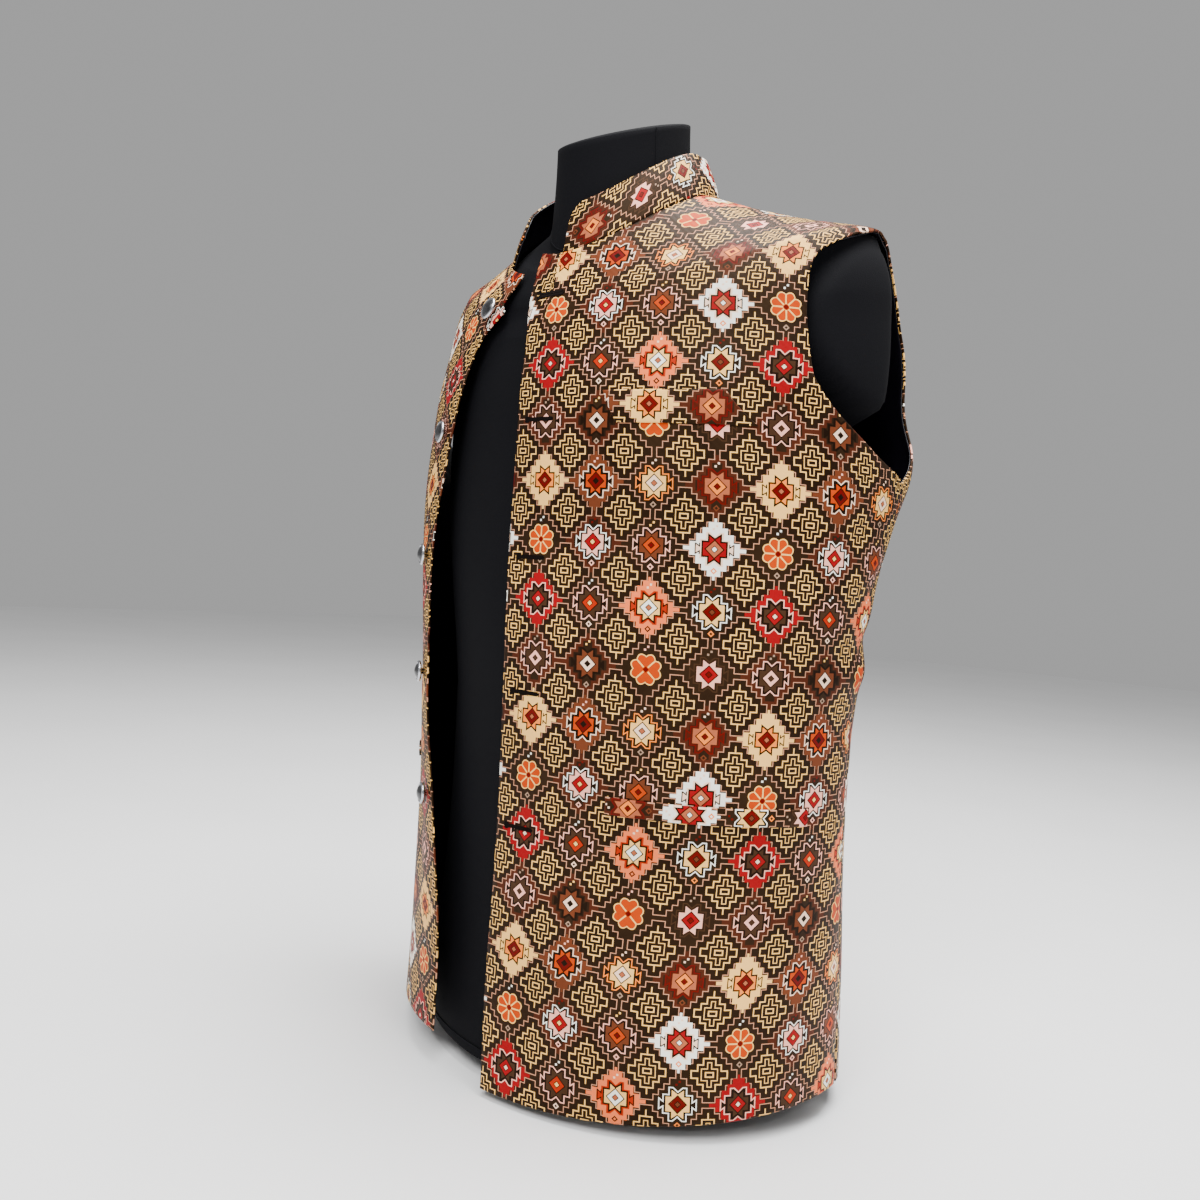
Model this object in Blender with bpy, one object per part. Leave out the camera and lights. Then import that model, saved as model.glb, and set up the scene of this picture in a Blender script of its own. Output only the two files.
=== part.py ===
"""Sleeveless band-collar jacket, left open on a limbless display torso.

Every body panel lies on one surface, a stack of rings. A ring is half an ellipse in front
and half another behind, and its height may differ at the front, the sides and the back,
so that the upper rings climb over the shoulders to the neckline.

Metres. X points to the wearer's left, Y to the wearer's back, Z up. An angle round the
body is 0 at centre front, 90 degrees at the wearer's left and 180 at centre back. A level
is the height at which a ring crosses the side of the body. The origin is the middle of
the flat base that the torso stands on.
"""

import math
from collections import namedtuple

import bpy
import numpy as np
from mathutils import Matrix, Vector

CLOTH = 0.0014
LINING = 0.0010
SEAM_GAP = 0.0003
# Neighbouring panels are a little further apart, as their gap narrows inward.
PANEL_GAP = 0.00036
WALL = CLOTH + SEAM_GAP + LINING
SMALL_STEP = 1e-4

HEM = 0.022
UNDERARM = 0.485
SHOULDER_TIP = 0.676
NECKLINE = 0.704

# Heights at the side, the front and the back; half the width; where the front, the widest
# line and the back lie; and where the two front edges lie.
Ring = namedtuple("Ring", "side_z front_z back_z half_width front_y mid_y back_y left_edge right_edge")
JACKET_RINGS = [
    Ring(HEM, 0.006, 0.012, 0.204, -0.147, 0.024, 0.152, 0.005, -0.061),
    Ring(0.100, 0.100, 0.100, 0.204, -0.142, 0.018, 0.142, -0.002, -0.070),
    Ring(0.200, 0.200, 0.200, 0.203, -0.141, 0.011, 0.126, -0.002, -0.097),
    Ring(0.300, 0.300, 0.300, 0.206, -0.144, 0.006, 0.118, -0.002, -0.124),
    Ring(0.400, 0.400, 0.400, 0.215, -0.147, 0.006, 0.125, -0.003, -0.121),
    Ring(UNDERARM, 0.485, 0.485, 0.226, -0.144, 0.018, 0.133, -0.006, -0.105),
    Ring(0.545, 0.537, 0.545, 0.224, -0.141, 0.026, 0.131, -0.009, -0.093),
    Ring(0.605, 0.575, 0.605, 0.217, -0.134, 0.030, 0.124, -0.013, -0.080),
    Ring(SHOULDER_TIP, 0.607, 0.667, 0.194, -0.127, 0.028, 0.103, -0.020, -0.050),
    Ring(0.684, 0.620, 0.684, 0.151, -0.123, 0.009, 0.080, -0.022, -0.042),
    Ring(0.693, 0.634, 0.702, 0.113, -0.119, -0.009, 0.055, -0.023, -0.036),
    Ring(NECKLINE, 0.648, 0.716, 0.076, -0.115, -0.030, 0.028, -0.024, -0.027),
]
SHAPE_COLUMNS = ("half_width", "front_y", "mid_y", "back_y", "front_z", "side_z", "back_z")
# How the height passes from the side to the front and the back, as a power of the cosine.
RING_FALL = 1.5

# Rows of every body panel, so that neighbours meet point to point along their seams.
BODY_LEVELS = [
    HEM, 0.036, 0.062, 0.098, 0.138, 0.180, 0.225, 0.270, 0.315, 0.360, 0.405, 0.450,
    UNDERARM, 0.496, 0.510, 0.530, 0.555, 0.583, 0.611, 0.636, 0.655, 0.666, 0.672,
    SHOULDER_TIP, 0.682, 0.689, 0.696, NECKLINE,
]
FRONT_COLUMNS = 13
BACK_COLUMNS = 22
EDGE_STRIP = 0.045

# The right front hangs open, which draws its side seam back below the arm.
SIDE_SEAM = math.radians(99)
RIGHT_SEAM_SWING = math.radians(16)
SWING_LEVEL = 0.300
SHOULDER_SEAM = math.radians(90)
ArmholeEdge = namedtuple("ArmholeEdge", "level front_degrees back_degrees")
ARMHOLE = [
    ArmholeEdge(UNDERARM, 99, 99),
    ArmholeEdge(0.496, 85, 106),
    ArmholeEdge(0.510, 76, 110),
    ArmholeEdge(0.535, 65.5, 115),
    ArmholeEdge(0.560, 60.5, 118),
    ArmholeEdge(0.605, 59, 119),
    ArmholeEdge(0.640, 60, 116),
    ArmholeEdge(0.662, 64, 110),
    ArmholeEdge(0.671, 75, 102),
    ArmholeEdge(SHOULDER_TIP, 90, 90),
]
RIGHT_HEM_LIFT = 0.016
LIFT_TOP = 0.138
VENT_TOP = 0.085
VENT_GAP = 0.006
VENT_CURVE = 0.8

# The open right front also draws its side of the neckline down over the form.
RIGHT_NECK_DROP = 0.0125
DROP_START = math.radians(225)
DROP_END = math.radians(325)
DROP_FOOT = 0.640

COLLAR_END_LEFT = 0.002
COLLAR_END_RIGHT = -0.048
COLLAR_CREST = Ring(0.7395, 0.690, 0.751, 0.061, -0.105, -0.032, 0.019, 0, 0)
COLLAR_END_RADIUS = 0.015
COLLAR_END_STEPS = np.radians([1.5, 4.5, 10.0])
COLLAR_ROWS = 4
# Least angles between a collar's column and its neighbours near its ends and at its seams.
END_CLEARANCE = 0.03
SEAM_CLEARANCE = 0.02

BUTTON_HEIGHTS = [0.611, 0.510, 0.409, 0.308, 0.207]
BUTTON_FROM_EDGE = 0.018
BUTTON_PROFILE = [
    (0.0030, 0.0000), (0.0030, 0.0026), (0.0086, 0.0030), (0.0092, 0.0040),
    (0.0086, 0.0052), (0.0062, 0.0070), (0.0032, 0.0080),
]
BUTTON_SIDES = 16
BUTTON_CROWN = 0.0003

Welt = namedtuple("Welt", "name panel from_edge level width height")
WELTS = [
    Welt("chest_welt", "left_front", 0.090, 0.513, 0.102, 0.028),
    Welt("left_pocket_welt", "left_front", 0.095, 0.230, 0.152, 0.013),
    Welt("right_pocket_welt", "right_front", 0.058, 0.230, 0.152, 0.013),
]
WELT_CLOTH = 0.0012
WELT_GAP = 0.0006
# Least share of a cell between a welt's edge and the panel's next grid line.
WELT_CLEARANCE = 0.1

Ease = namedtuple("Ease", "level front side back")
TORSO_EASE = [
    Ease(0.022, 0.018, 0.018, 0.026),
    Ease(0.160, 0.018, 0.030, 0.026),
    Ease(0.300, 0.018, 0.038, 0.024),
    Ease(0.400, 0.012, 0.032, 0.020),
    Ease(UNDERARM, 0.009, 0.024, 0.018),
    Ease(0.560, 0.008, 0.014, 0.018),
    Ease(0.630, 0.006, 0.007, 0.012),
    Ease(0.668, 0.007, 0.0050, 0.008),
    Ease(SHOULDER_TIP, 0.006, 0.0030, 0.006),
    Ease(0.683, 0.003, 0.0008, 0.003),
    Ease(0.696, 0.003, 0.0008, 0.003),
]
TORSO_COLUMNS = 60
TORSO_LEVELS = [
    0.022, 0.090, 0.150, 0.210, 0.270, 0.330, 0.390, 0.440, 0.485, 0.525, 0.560, 0.590,
    0.618, 0.640, 0.655, 0.667, SHOULDER_TIP, 0.682, 0.689, 0.696,
]
# The arms end in rounded ovals with a hollow round them, which ends under the shoulders.
ARM_ANGLE = math.radians(90)
ARM_LEVEL = 0.603
ARM_HALF_SPAN = math.radians(27)
ARM_HALF_HEIGHT = 0.060
ARM_HOLLOW_LEVELS = (0.600, 0.655, 0.672)
ARM_HOLLOW_DEPTHS = (0.028, 0.006, 0.0)
NECK_RADIUS = 0.0535
NECK_FLARE = 0.004
NECK_MIDDLE = (-0.003, -0.0425)
NECK_LEAN = -0.004
NECK_FOOT_DROP = 0.003
NECK_TOP_FRONT = 0.738
NECK_TOP_BACK = 0.780
NECK_SHARES = (0.0, 0.25, 0.6, 1.0)
# Rings of the neck's slightly domed top: share of its radius, and rise.
NECK_CAP = [(0.93, 0.0025), (0.6, 0.005)]
NECK_CROWN = 0.001

BASE_HALF_WIDTH = 0.125
BASE_HALF_DEPTH = 0.090
BASE_SIDES = 48

COLOURS = {
    "printed_cloth": ((0.16, 0.085, 0.045), 0.62, 0.0),
    "collar_cloth": ((0.17, 0.09, 0.05), 0.62, 0.0),
    "lining": ((0.008, 0.008, 0.011), 0.38, 0.0),
    "torso_jersey": ((0.012, 0.013, 0.017), 0.78, 0.0),
    "base_board": ((0.02, 0.02, 0.02), 0.6, 0.0),
    "button_metal": ((0.10, 0.10, 0.11), 0.25, 0.9),
}


def smooth_between(knots, values, at):
    """Smooth curve through values at knots that never swings past them."""
    knots = np.asarray(knots, float)
    values = np.asarray(values, float)
    at = np.asarray(at, float)
    gaps = np.diff(knots)
    rises = np.diff(values) / gaps
    before, after = rises[:-1], rises[1:]
    steady = before * after > 0
    weight_before = 2 * gaps[1:] + gaps[:-1]
    weight_after = gaps[1:] + 2 * gaps[:-1]
    total = weight_before / np.where(steady, before, 1) + weight_after / np.where(steady, after, 1)
    middle = np.where(steady, (weight_before + weight_after) / np.where(steady, total, 1), 0)
    slopes = np.concatenate([rises[:1], middle, rises[-1:]])
    i = np.clip(np.searchsorted(knots, at) - 1, 0, len(knots) - 2)
    span = gaps[i]
    s = (at - knots[i]) / span
    start = (2 * s**3 - 3 * s**2 + 1) * values[i] + (s**3 - 2 * s**2 + s) * span * slopes[i]
    end = (3 * s**2 - 2 * s**3) * values[i + 1] + (s**3 - s**2) * span * slopes[i + 1]
    return start + end


def ease_between(value, start, end):
    """0 before start, 1 after end, and a smooth rise between them."""
    share = np.clip((value - start) / (end - start), 0, 1)
    return share * share * (3 - 2 * share)


def ring_value(name, level):
    """One column of the ring table at any level."""
    return smooth_between([r.side_z for r in JACKET_RINGS], [getattr(r, name) for r in JACKET_RINGS], level)


def ring_point(angle, half_width, front_y, mid_y, back_y, front_z, side_z, back_z):
    """Point on a ring: half an ellipse in front, half another behind, and a height between the three."""
    s, c = np.sin(angle), np.cos(angle)
    front = c > 0
    y = mid_y + np.where(front, front_y - mid_y, mid_y - back_y) * c
    z = side_z + np.where(front, front_z - side_z, back_z - side_z) * np.abs(c) ** RING_FALL
    return np.stack(np.broadcast_arrays(half_width * s, y, z), axis=-1)


def body_point(angle, level):
    """Point on the outside of the jacket's body."""
    return ring_point(angle, *(ring_value(name, level) for name in SHAPE_COLUMNS))


def body_normal(angle, level):
    """Unit normal there, pointing out."""
    along = body_point(angle + SMALL_STEP, level) - body_point(angle - SMALL_STEP, level)
    up = body_point(angle, level + SMALL_STEP) - body_point(angle, level - SMALL_STEP)
    normal = np.cross(along, up)
    return normal / np.linalg.norm(normal, axis=-1, keepdims=True)


def triangles_of_grid(rows, columns, first=0, flip=False):
    """Two triangles for each cell of a grid of points, all cut along the same diagonal."""
    faces = []
    for r in range(rows - 1):
        for c in range(columns - 1):
            a = first + r * columns + c
            b, d = a + 1, a + columns
            e = d + 1
            faces += [(a, b, e), (a, e, d)]
    return [f[::-1] for f in faces] if flip else faces


def rim_of_grid(rows, columns):
    """Indices of the outermost points of a grid, in order round it."""
    bottom = [c for c in range(columns)]
    right = [r * columns + columns - 1 for r in range(1, rows)]
    top = [(rows - 1) * columns + c for c in range(columns - 2, -1, -1)]
    left = [r * columns for r in range(rows - 2, 0, -1)]
    return bottom + right + top + left


def material(name):
    """The named finish as a Principled surface."""
    found = bpy.data.materials.get(name)
    if found:
        return found
    colour, roughness, metallic = COLOURS[name]
    made = bpy.data.materials.new(name)
    made.use_nodes = True
    shader = made.node_tree.nodes["Principled BSDF"]
    shader.inputs["Base Color"].default_value = (*colour, 1.0)
    shader.inputs["Roughness"].default_value = roughness
    shader.inputs["Metallic"].default_value = metallic
    return made


def add_object(name, points, faces, finish, smooth_below=40):
    """A mesh object, shaded smooth but for its sharp edges."""
    mesh = bpy.data.meshes.new(name)
    mesh.from_pydata([tuple(map(float, p)) for p in points], [], faces)
    mesh.materials.append(material(finish))
    mesh.shade_smooth()
    mesh.set_sharp_from_angle(angle=math.radians(smooth_below))
    obj = bpy.data.objects.new(name, mesh)
    bpy.context.scene.collection.objects.link(obj)
    return obj


def add_wall(name, outer, inner, finish):
    """A closed wall between two grids of points, the outer one facing out."""
    rows, columns, _ = outer.shape
    count = rows * columns
    points = np.concatenate([outer.reshape(-1, 3), inner.reshape(-1, 3)])
    faces = triangles_of_grid(rows, columns)
    faces += triangles_of_grid(rows, columns, first=count, flip=True)
    rim = rim_of_grid(rows, columns)
    for a, b in zip(rim, rim[1:] + rim[:1]):
        faces += [(b, a, a + count), (b, a + count, b + count)]
    return add_object(name, points, faces, finish)


def seam_angle(level, panel, swing=0.0):
    """Angle of a panel's outer boundary: side seam, armhole, then shoulder seam."""
    if level <= UNDERARM:
        return SIDE_SEAM + swing * ease_between(-level, -UNDERARM, -SWING_LEVEL)
    if level < SHOULDER_TIP:
        degrees = [getattr(edge, panel + "_degrees") for edge in ARMHOLE]
        return math.radians(np.interp(level, [edge.level for edge in ARMHOLE], degrees))
    return SHOULDER_SEAM


def gap_angle(level):
    """Half the gap between front and back at their seam, as an angle. Below the vent's top it widens."""
    opening = max(0.0, 1 - (level - HEM) / (VENT_TOP - HEM))
    half_gap = PANEL_GAP / 2 + VENT_GAP / 2 * opening**VENT_CURVE
    return half_gap / float(ring_value("back_y", level) - ring_value("mid_y", level))


def front_edge_angle(side, level):
    """Angle of a front's free edge. side is 1 for the wearer's left and -1 for the right."""
    edge = ring_value("left_edge" if side > 0 else "right_edge", level)
    return math.asin(float(edge / ring_value("half_width", level)))


def front_angles(side):
    """Angles of a front's grid, a row for each level, in order round the body."""
    inside = np.linspace(EDGE_STRIP, 1 - EDGE_STRIP / 2, FRONT_COLUMNS - 2)
    shares = np.concatenate([[0.0], inside, [1.0]])
    rows = []
    for level in BODY_LEVELS:
        start = front_edge_angle(side, level)
        swing = 0.0 if side > 0 else RIGHT_SEAM_SWING
        end = side * (seam_angle(level, "front", swing) - gap_angle(level))
        rows.append(start + (end - start) * shares)
    angles = np.array(rows)
    return angles if side > 0 else angles[:, ::-1]


def back_angles():
    """Angles of the back's grid, from the wearer's left round to the right."""
    shares = np.linspace(0, 1, BACK_COLUMNS)
    rows = []
    for level in BODY_LEVELS:
        start = seam_angle(level, "back") + gap_angle(level)
        end = 2 * math.pi - seam_angle(level, "back", RIGHT_SEAM_SWING) - gap_angle(level)
        rows.append(start + (end - start) * shares)
    return np.array(rows)


def neck_drop(angles):
    """How far the neckline of the back and the right front slides down the body's surface."""
    return RIGHT_NECK_DROP * ease_between(angles % (2 * math.pi), DROP_START, DROP_END)


def level_grid(angles, lift=0.0, drop=0.0):
    """Levels of a grid of angles. The hem may lift towards the last column, and the neckline drop."""
    levels = np.array(BODY_LEVELS)[:, None]
    near_hem = np.clip((LIFT_TOP - levels) / (LIFT_TOP - HEM), 0, 1)
    near_neck = np.clip((levels - DROP_FOOT) / (NECKLINE - DROP_FOOT), 0, 1)
    return levels + lift * near_hem * np.linspace(0, 1, angles.shape[1]) - drop * near_neck


def add_panel(name, angles, levels, lining_rows, lining_columns):
    """A body panel of printed cloth and the lining behind it, which share their grid."""
    outside = body_point(angles, levels)
    normals = body_normal(angles, levels)
    add_wall(name, outside, outside - normals * CLOTH, "printed_cloth")
    inner = (lining_rows, lining_columns)
    start = CLOTH + SEAM_GAP
    near = (outside - normals * start)[inner]
    far = (outside - normals * (start + LINING))[inner]
    add_wall(name + "_lining", near, far, "lining")
    return outside, angles, levels


def collar_angles(columns):
    """Angles along the collar, from its left front end round the back, on the panels' own columns."""
    base = JACKET_RINGS[-1].half_width
    start = math.asin(COLLAR_END_LEFT / base)
    end = 2 * math.pi + math.asin(COLLAR_END_RIGHT / base)
    ends = [start, *(start + COLLAR_END_STEPS), *(end - COLLAR_END_STEPS), end]
    clear = COLLAR_END_STEPS[-1] + END_CLEARANCE
    seams = [SHOULDER_SEAM, 2 * math.pi - SHOULDER_SEAM]
    middle = [a for a in columns if start + clear < a < end - clear]
    inside = [a for a in middle if np.abs(a - seams).min() > SEAM_CLEARANCE]
    return np.sort([*ends, *seams, *inside])


def points_between(at, knots, points):
    """Points of a line of straight stretches, read at other angles."""
    return np.stack([np.interp(at, knots, points[:, axis]) for axis in range(3)], axis=-1)


def add_collar(left, right, back):
    """Standing band with rounded front ends, and the lining inside it."""
    columns = np.concatenate([left[-1], back[-1], right[-1] + 2 * math.pi])
    drop = np.concatenate([np.zeros_like(left[-1]), neck_drop(back[-1]), neck_drop(right[-1])])
    level = NECKLINE - drop
    seam = body_point(columns, level)
    moved = seam - body_point(columns, np.full_like(columns, NECKLINE))
    rise = seam - body_point(columns, level - SMALL_STEP)
    seam = seam + rise / np.linalg.norm(rise, axis=-1, keepdims=True) * SEAM_GAP
    angles = collar_angles(columns)
    base = points_between(angles, columns, seam)
    inward = points_between(angles, columns, body_normal(columns, level))
    crest = ring_point(angles, *(getattr(COLLAR_CREST, name) for name in SHAPE_COLUMNS))
    crest = crest + points_between(angles, columns, moved)
    tall = np.linalg.norm(crest - base, axis=-1)
    run = np.concatenate([[0], np.cumsum(np.linalg.norm(np.diff(base, axis=0), axis=-1))])
    from_end = np.minimum(run, run[-1] - run)
    short = np.clip(COLLAR_END_RADIUS - from_end, 0, None)
    cut = COLLAR_END_RADIUS - np.sqrt(COLLAR_END_RADIUS**2 - short**2)
    share = (1 - cut / tall)[None, :] * np.linspace(0, 1, COLLAR_ROWS)[:, None]
    band = base[None] + (crest - base)[None] * share[..., None]
    along = np.gradient(base, axis=0)
    out = np.cross(along, crest - base)
    out = np.repeat((out / np.linalg.norm(out, axis=-1, keepdims=True))[None], COLLAR_ROWS, axis=0)
    out[0] = inward
    start = CLOTH + SEAM_GAP
    add_wall("collar", band, band - out * CLOTH, "collar_cloth")
    add_wall("collar_lining", band - out * start, band - out * (start + LINING), "lining")


def facet_point(grid, row, column):
    """Point on a faceted grid at a fractional row and column."""
    r = min(int(row), grid.shape[0] - 2)
    c = min(int(column), grid.shape[1] - 2)
    v, u = row - r, column - c
    a, b, d, e = grid[r, c], grid[r, c + 1], grid[r + 1, c], grid[r + 1, c + 1]
    if u > v:
        return a + (b - a) * u + (e - b) * v
    return a + (e - d) * u + (d - a) * v


def row_at(level):
    """Fractional row of a panel's grid at a level."""
    return float(np.interp(level, BODY_LEVELS, range(len(BODY_LEVELS))))


def column_at(panel, side, from_edge, row):
    """Fractional column at a distance from the front edge, along a row."""
    grid = panel[0]
    columns = range(grid.shape[1])
    line = np.array([facet_point(grid, row, column) for column in columns])
    run = np.concatenate([[0], np.cumsum(np.linalg.norm(np.diff(line, axis=0), axis=-1))])
    wanted = from_edge if side > 0 else run[-1] - from_edge
    return float(np.interp(wanted, run, columns))


def on_panel(panel, row, column):
    """Facet point of a panel and the outward normal there."""
    grid, *angles_and_levels = panel
    r = min(int(row), grid.shape[0] - 2)
    at_row = [values[r] + (values[r + 1] - values[r]) * (row - r) for values in angles_and_levels]
    angle, level = (np.interp(column, range(grid.shape[1]), values) for values in at_row)
    return facet_point(grid, row, column), body_normal(np.array(angle), np.array(level))


def with_grid_lines(start, end):
    """Two fractional places on a grid, and its own lines between them."""
    low, high = min(start, end), max(start, end)
    lines = range(math.ceil(low), math.floor(high) + 1)
    return [low, *(k for k in lines if low + WELT_CLEARANCE < k < high - WELT_CLEARANCE), high]


def add_welt(welt, panel, side):
    """Flat strip of cloth sewn over a pocket's mouth, made from the panel's points moved out."""
    rows = with_grid_lines(row_at(welt.level), row_at(welt.level + welt.height))
    near = column_at(panel, side, welt.from_edge, rows[0])
    far = column_at(panel, side, welt.from_edge + welt.width, rows[0])
    placed = [[on_panel(panel, row, column) for column in with_grid_lines(near, far)] for row in rows]
    points = np.array([[p for p, _ in row] for row in placed])
    normals = np.array([[n for _, n in row] for row in placed])
    outer = points + normals * (WELT_GAP + WELT_CLOTH)
    inner = points + normals * WELT_GAP
    add_wall(welt.name, outer, inner, "printed_cloth")


def button_mesh():
    """Domed button on a short shank, turned about Z."""
    points = [(0.0, 0.0, BUTTON_PROFILE[0][1])]
    for radius, z in BUTTON_PROFILE:
        for k in range(BUTTON_SIDES):
            turn = 2 * math.pi * k / BUTTON_SIDES
            points.append((radius * math.cos(turn), radius * math.sin(turn), z))
    top = len(points)
    points.append((0.0, 0.0, BUTTON_PROFILE[-1][1] + BUTTON_CROWN))
    faces = []
    for k in range(BUTTON_SIDES):
        after = (k + 1) % BUTTON_SIDES
        faces.append((0, 1 + after, 1 + k))
        for ring in range(len(BUTTON_PROFILE) - 1):
            low = 1 + ring * BUTTON_SIDES
            high = low + BUTTON_SIDES
            faces += [(low + k, low + after, high + after), (low + k, high + after, high + k)]
        last = 1 + (len(BUTTON_PROFILE) - 1) * BUTTON_SIDES
        faces.append((last + k, last + after, top))
    return points, faces


def add_buttons(panel):
    """Buttons down the right front, each standing square to the cloth."""
    points, faces = button_mesh()
    for number, height in enumerate(BUTTON_HEIGHTS, start=1):
        row = row_at(level_at_front(height))
        column = column_at(panel, -1, BUTTON_FROM_EDGE, row)
        place, normal = on_panel(panel, row, column)
        button = add_object(f"button_{number}", points, faces, "button_metal")
        turn = Vector(normal).to_track_quat("Z", "X").to_matrix().to_4x4()
        button.matrix_world = Matrix.Translation(Vector(place + normal * SEAM_GAP)) @ turn


def level_at_front(height):
    """Level of the ring that passes a height at centre front."""
    return float(np.interp(height, [r.front_z for r in JACKET_RINGS], [r.side_z for r in JACKET_RINGS]))


def arm_hollow(angle, level):
    """Extra room round the oval ends of the arms, gone again well away from them."""
    from_front = np.abs(np.arctan2(np.sin(angle), np.cos(angle)))
    across = (from_front - ARM_ANGLE) / ARM_HALF_SPAN
    distance = np.hypot(across, (level - ARM_LEVEL) / ARM_HALF_HEIGHT)
    depth = np.interp(level, ARM_HOLLOW_LEVELS, ARM_HOLLOW_DEPTHS)
    return depth * (ease_between(distance, 1.0, 1.35) - ease_between(distance, 1.5, 2.1))


def torso_ease(angle, level):
    """Room between the torso and the inside of the lining."""
    knots = [e.level for e in TORSO_EASE]
    front, side, back = (
        np.interp(level, knots, [getattr(e, name) for e in TORSO_EASE]) for name in ("front", "side", "back")
    )
    c = np.cos(angle)
    return side + np.where(c > 0, front - side, back - side) * c**2 + arm_hollow(angle, level)


def neck_ring(angles, share):
    """A ring of the neck, from its foot at 0 to its sloping top at 1."""
    slope = (1 - np.cos(angles)) / 2
    top = NECK_TOP_FRONT + (NECK_TOP_BACK - NECK_TOP_FRONT) * slope
    foot = body_point(angles, np.full_like(angles, NECKLINE))[:, 2] - NECK_FOOT_DROP
    radius = NECK_RADIUS + NECK_FLARE * (1 - share) ** 2
    x = NECK_MIDDLE[0] + radius * np.sin(angles)
    y = NECK_MIDDLE[1] + NECK_LEAN * share - radius * np.cos(angles)
    return np.stack([x, y, foot + (top - foot) * share], axis=-1)


def add_torso():
    """Limbless display torso: body, rounded arm ends and a neck cut on the slope."""
    angles = np.linspace(0, 2 * math.pi, TORSO_COLUMNS, endpoint=False)
    rings = []
    for level in TORSO_LEVELS:
        at = np.full_like(angles, level)
        inward = WALL + torso_ease(angles, at)
        rings.append(body_point(angles, at) - body_normal(angles, at) * inward[:, None])
    rings[0][:, 2] = TORSO_LEVELS[0]
    rings += [neck_ring(angles, share) for share in NECK_SHARES]
    rim = rings[-1]
    middle = rim.mean(axis=0)
    rings += [middle + (rim - middle) * share + [0, 0, rise] for share, rise in NECK_CAP]
    points = np.concatenate(rings)
    faces = []
    count = TORSO_COLUMNS
    for ring in range(len(rings) - 1):
        for k in range(count):
            low, high = ring * count, (ring + 1) * count
            after = (k + 1) % count
            faces += [(low + k, low + after, high + after), (low + k, high + after, high + k)]
    bottom, top = len(points), len(points) + 1
    crown = rings[-1].mean(axis=0) + [0, 0, NECK_CROWN]
    points = np.concatenate([points, [[0, 0, TORSO_LEVELS[0]], crown]])
    last = (len(rings) - 1) * count
    for k in range(count):
        after = (k + 1) % count
        faces += [(bottom, after, k), (last + k, last + after, top)]
    add_object("torso", points, faces, "torso_jersey")


def add_base():
    """Flat oval board under the torso, set back from its edge."""
    turns = [2 * math.pi * k / BASE_SIDES for k in range(BASE_SIDES)]
    top_z = TORSO_LEVELS[0] - SEAM_GAP
    points = []
    for z in (0.0, top_z):
        points += [(BASE_HALF_WIDTH * math.cos(a), BASE_HALF_DEPTH * math.sin(a), z) for a in turns]
    faces = []
    for k in range(BASE_SIDES):
        after = (k + 1) % BASE_SIDES
        faces.append((k, after, after + BASE_SIDES, k + BASE_SIDES))
    faces += [tuple(range(BASE_SIDES))[::-1], tuple(range(BASE_SIDES, 2 * BASE_SIDES))]
    add_object("torso_base", points, faces, "base_board")


def main():
    for obj in list(bpy.data.objects):
        bpy.data.objects.remove(obj, do_unlink=True)
    left = front_angles(1)
    right = front_angles(-1)
    back = back_angles()
    right_levels = level_grid(right, RIGHT_HEM_LIFT, neck_drop(right))
    # The linings begin a row above the hem and a column behind the fronts' free edges.
    above_hem = slice(1, None)
    panels = {
        "left_front": add_panel("left_front", left, level_grid(left), above_hem, slice(1, None)),
        "right_front": add_panel("right_front", right, right_levels, above_hem, slice(None, -1)),
    }
    add_panel("back", back, level_grid(back, drop=neck_drop(back)), above_hem, slice(None))
    add_collar(left, right, back)
    for welt in WELTS:
        add_welt(welt, panels[welt.panel], 1 if welt.panel == "left_front" else -1)
    add_buttons(panels["right_front"])
    add_torso()
    add_base()


main()
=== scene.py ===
"""Looks of a printed sleeveless jacket with a standing collar, hanging open on a black dress form.

The jacket's body is one surface, a stack of rings. A ring is half an ellipse in front and half
another behind, with its own height at the front, the sides and the back. Angles go round the body
from centre front through the wearer's left, and a level is the height at which a ring crosses
the side of the body. The numbers of the rings are those of the solids.
"""

import math
from collections import namedtuple
from functools import partial

import bpy
import numpy as np
from mathutils import Matrix, Vector


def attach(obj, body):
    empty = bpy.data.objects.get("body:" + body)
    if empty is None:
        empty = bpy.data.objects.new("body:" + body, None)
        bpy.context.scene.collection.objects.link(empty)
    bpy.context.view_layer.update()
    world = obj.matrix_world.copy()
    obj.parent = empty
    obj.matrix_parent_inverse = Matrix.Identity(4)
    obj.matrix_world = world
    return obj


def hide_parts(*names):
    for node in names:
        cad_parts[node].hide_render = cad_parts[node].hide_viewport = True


CLOTH = 0.0014
LINING = 0.0010
SEAM_GAP = 0.0003
WALL = CLOTH + SEAM_GAP + LINING
SMALL_STEP = 1e-4

HEM = 0.022
UNDERARM = 0.485
SHOULDER_TIP = 0.676
NECKLINE = 0.704

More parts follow.
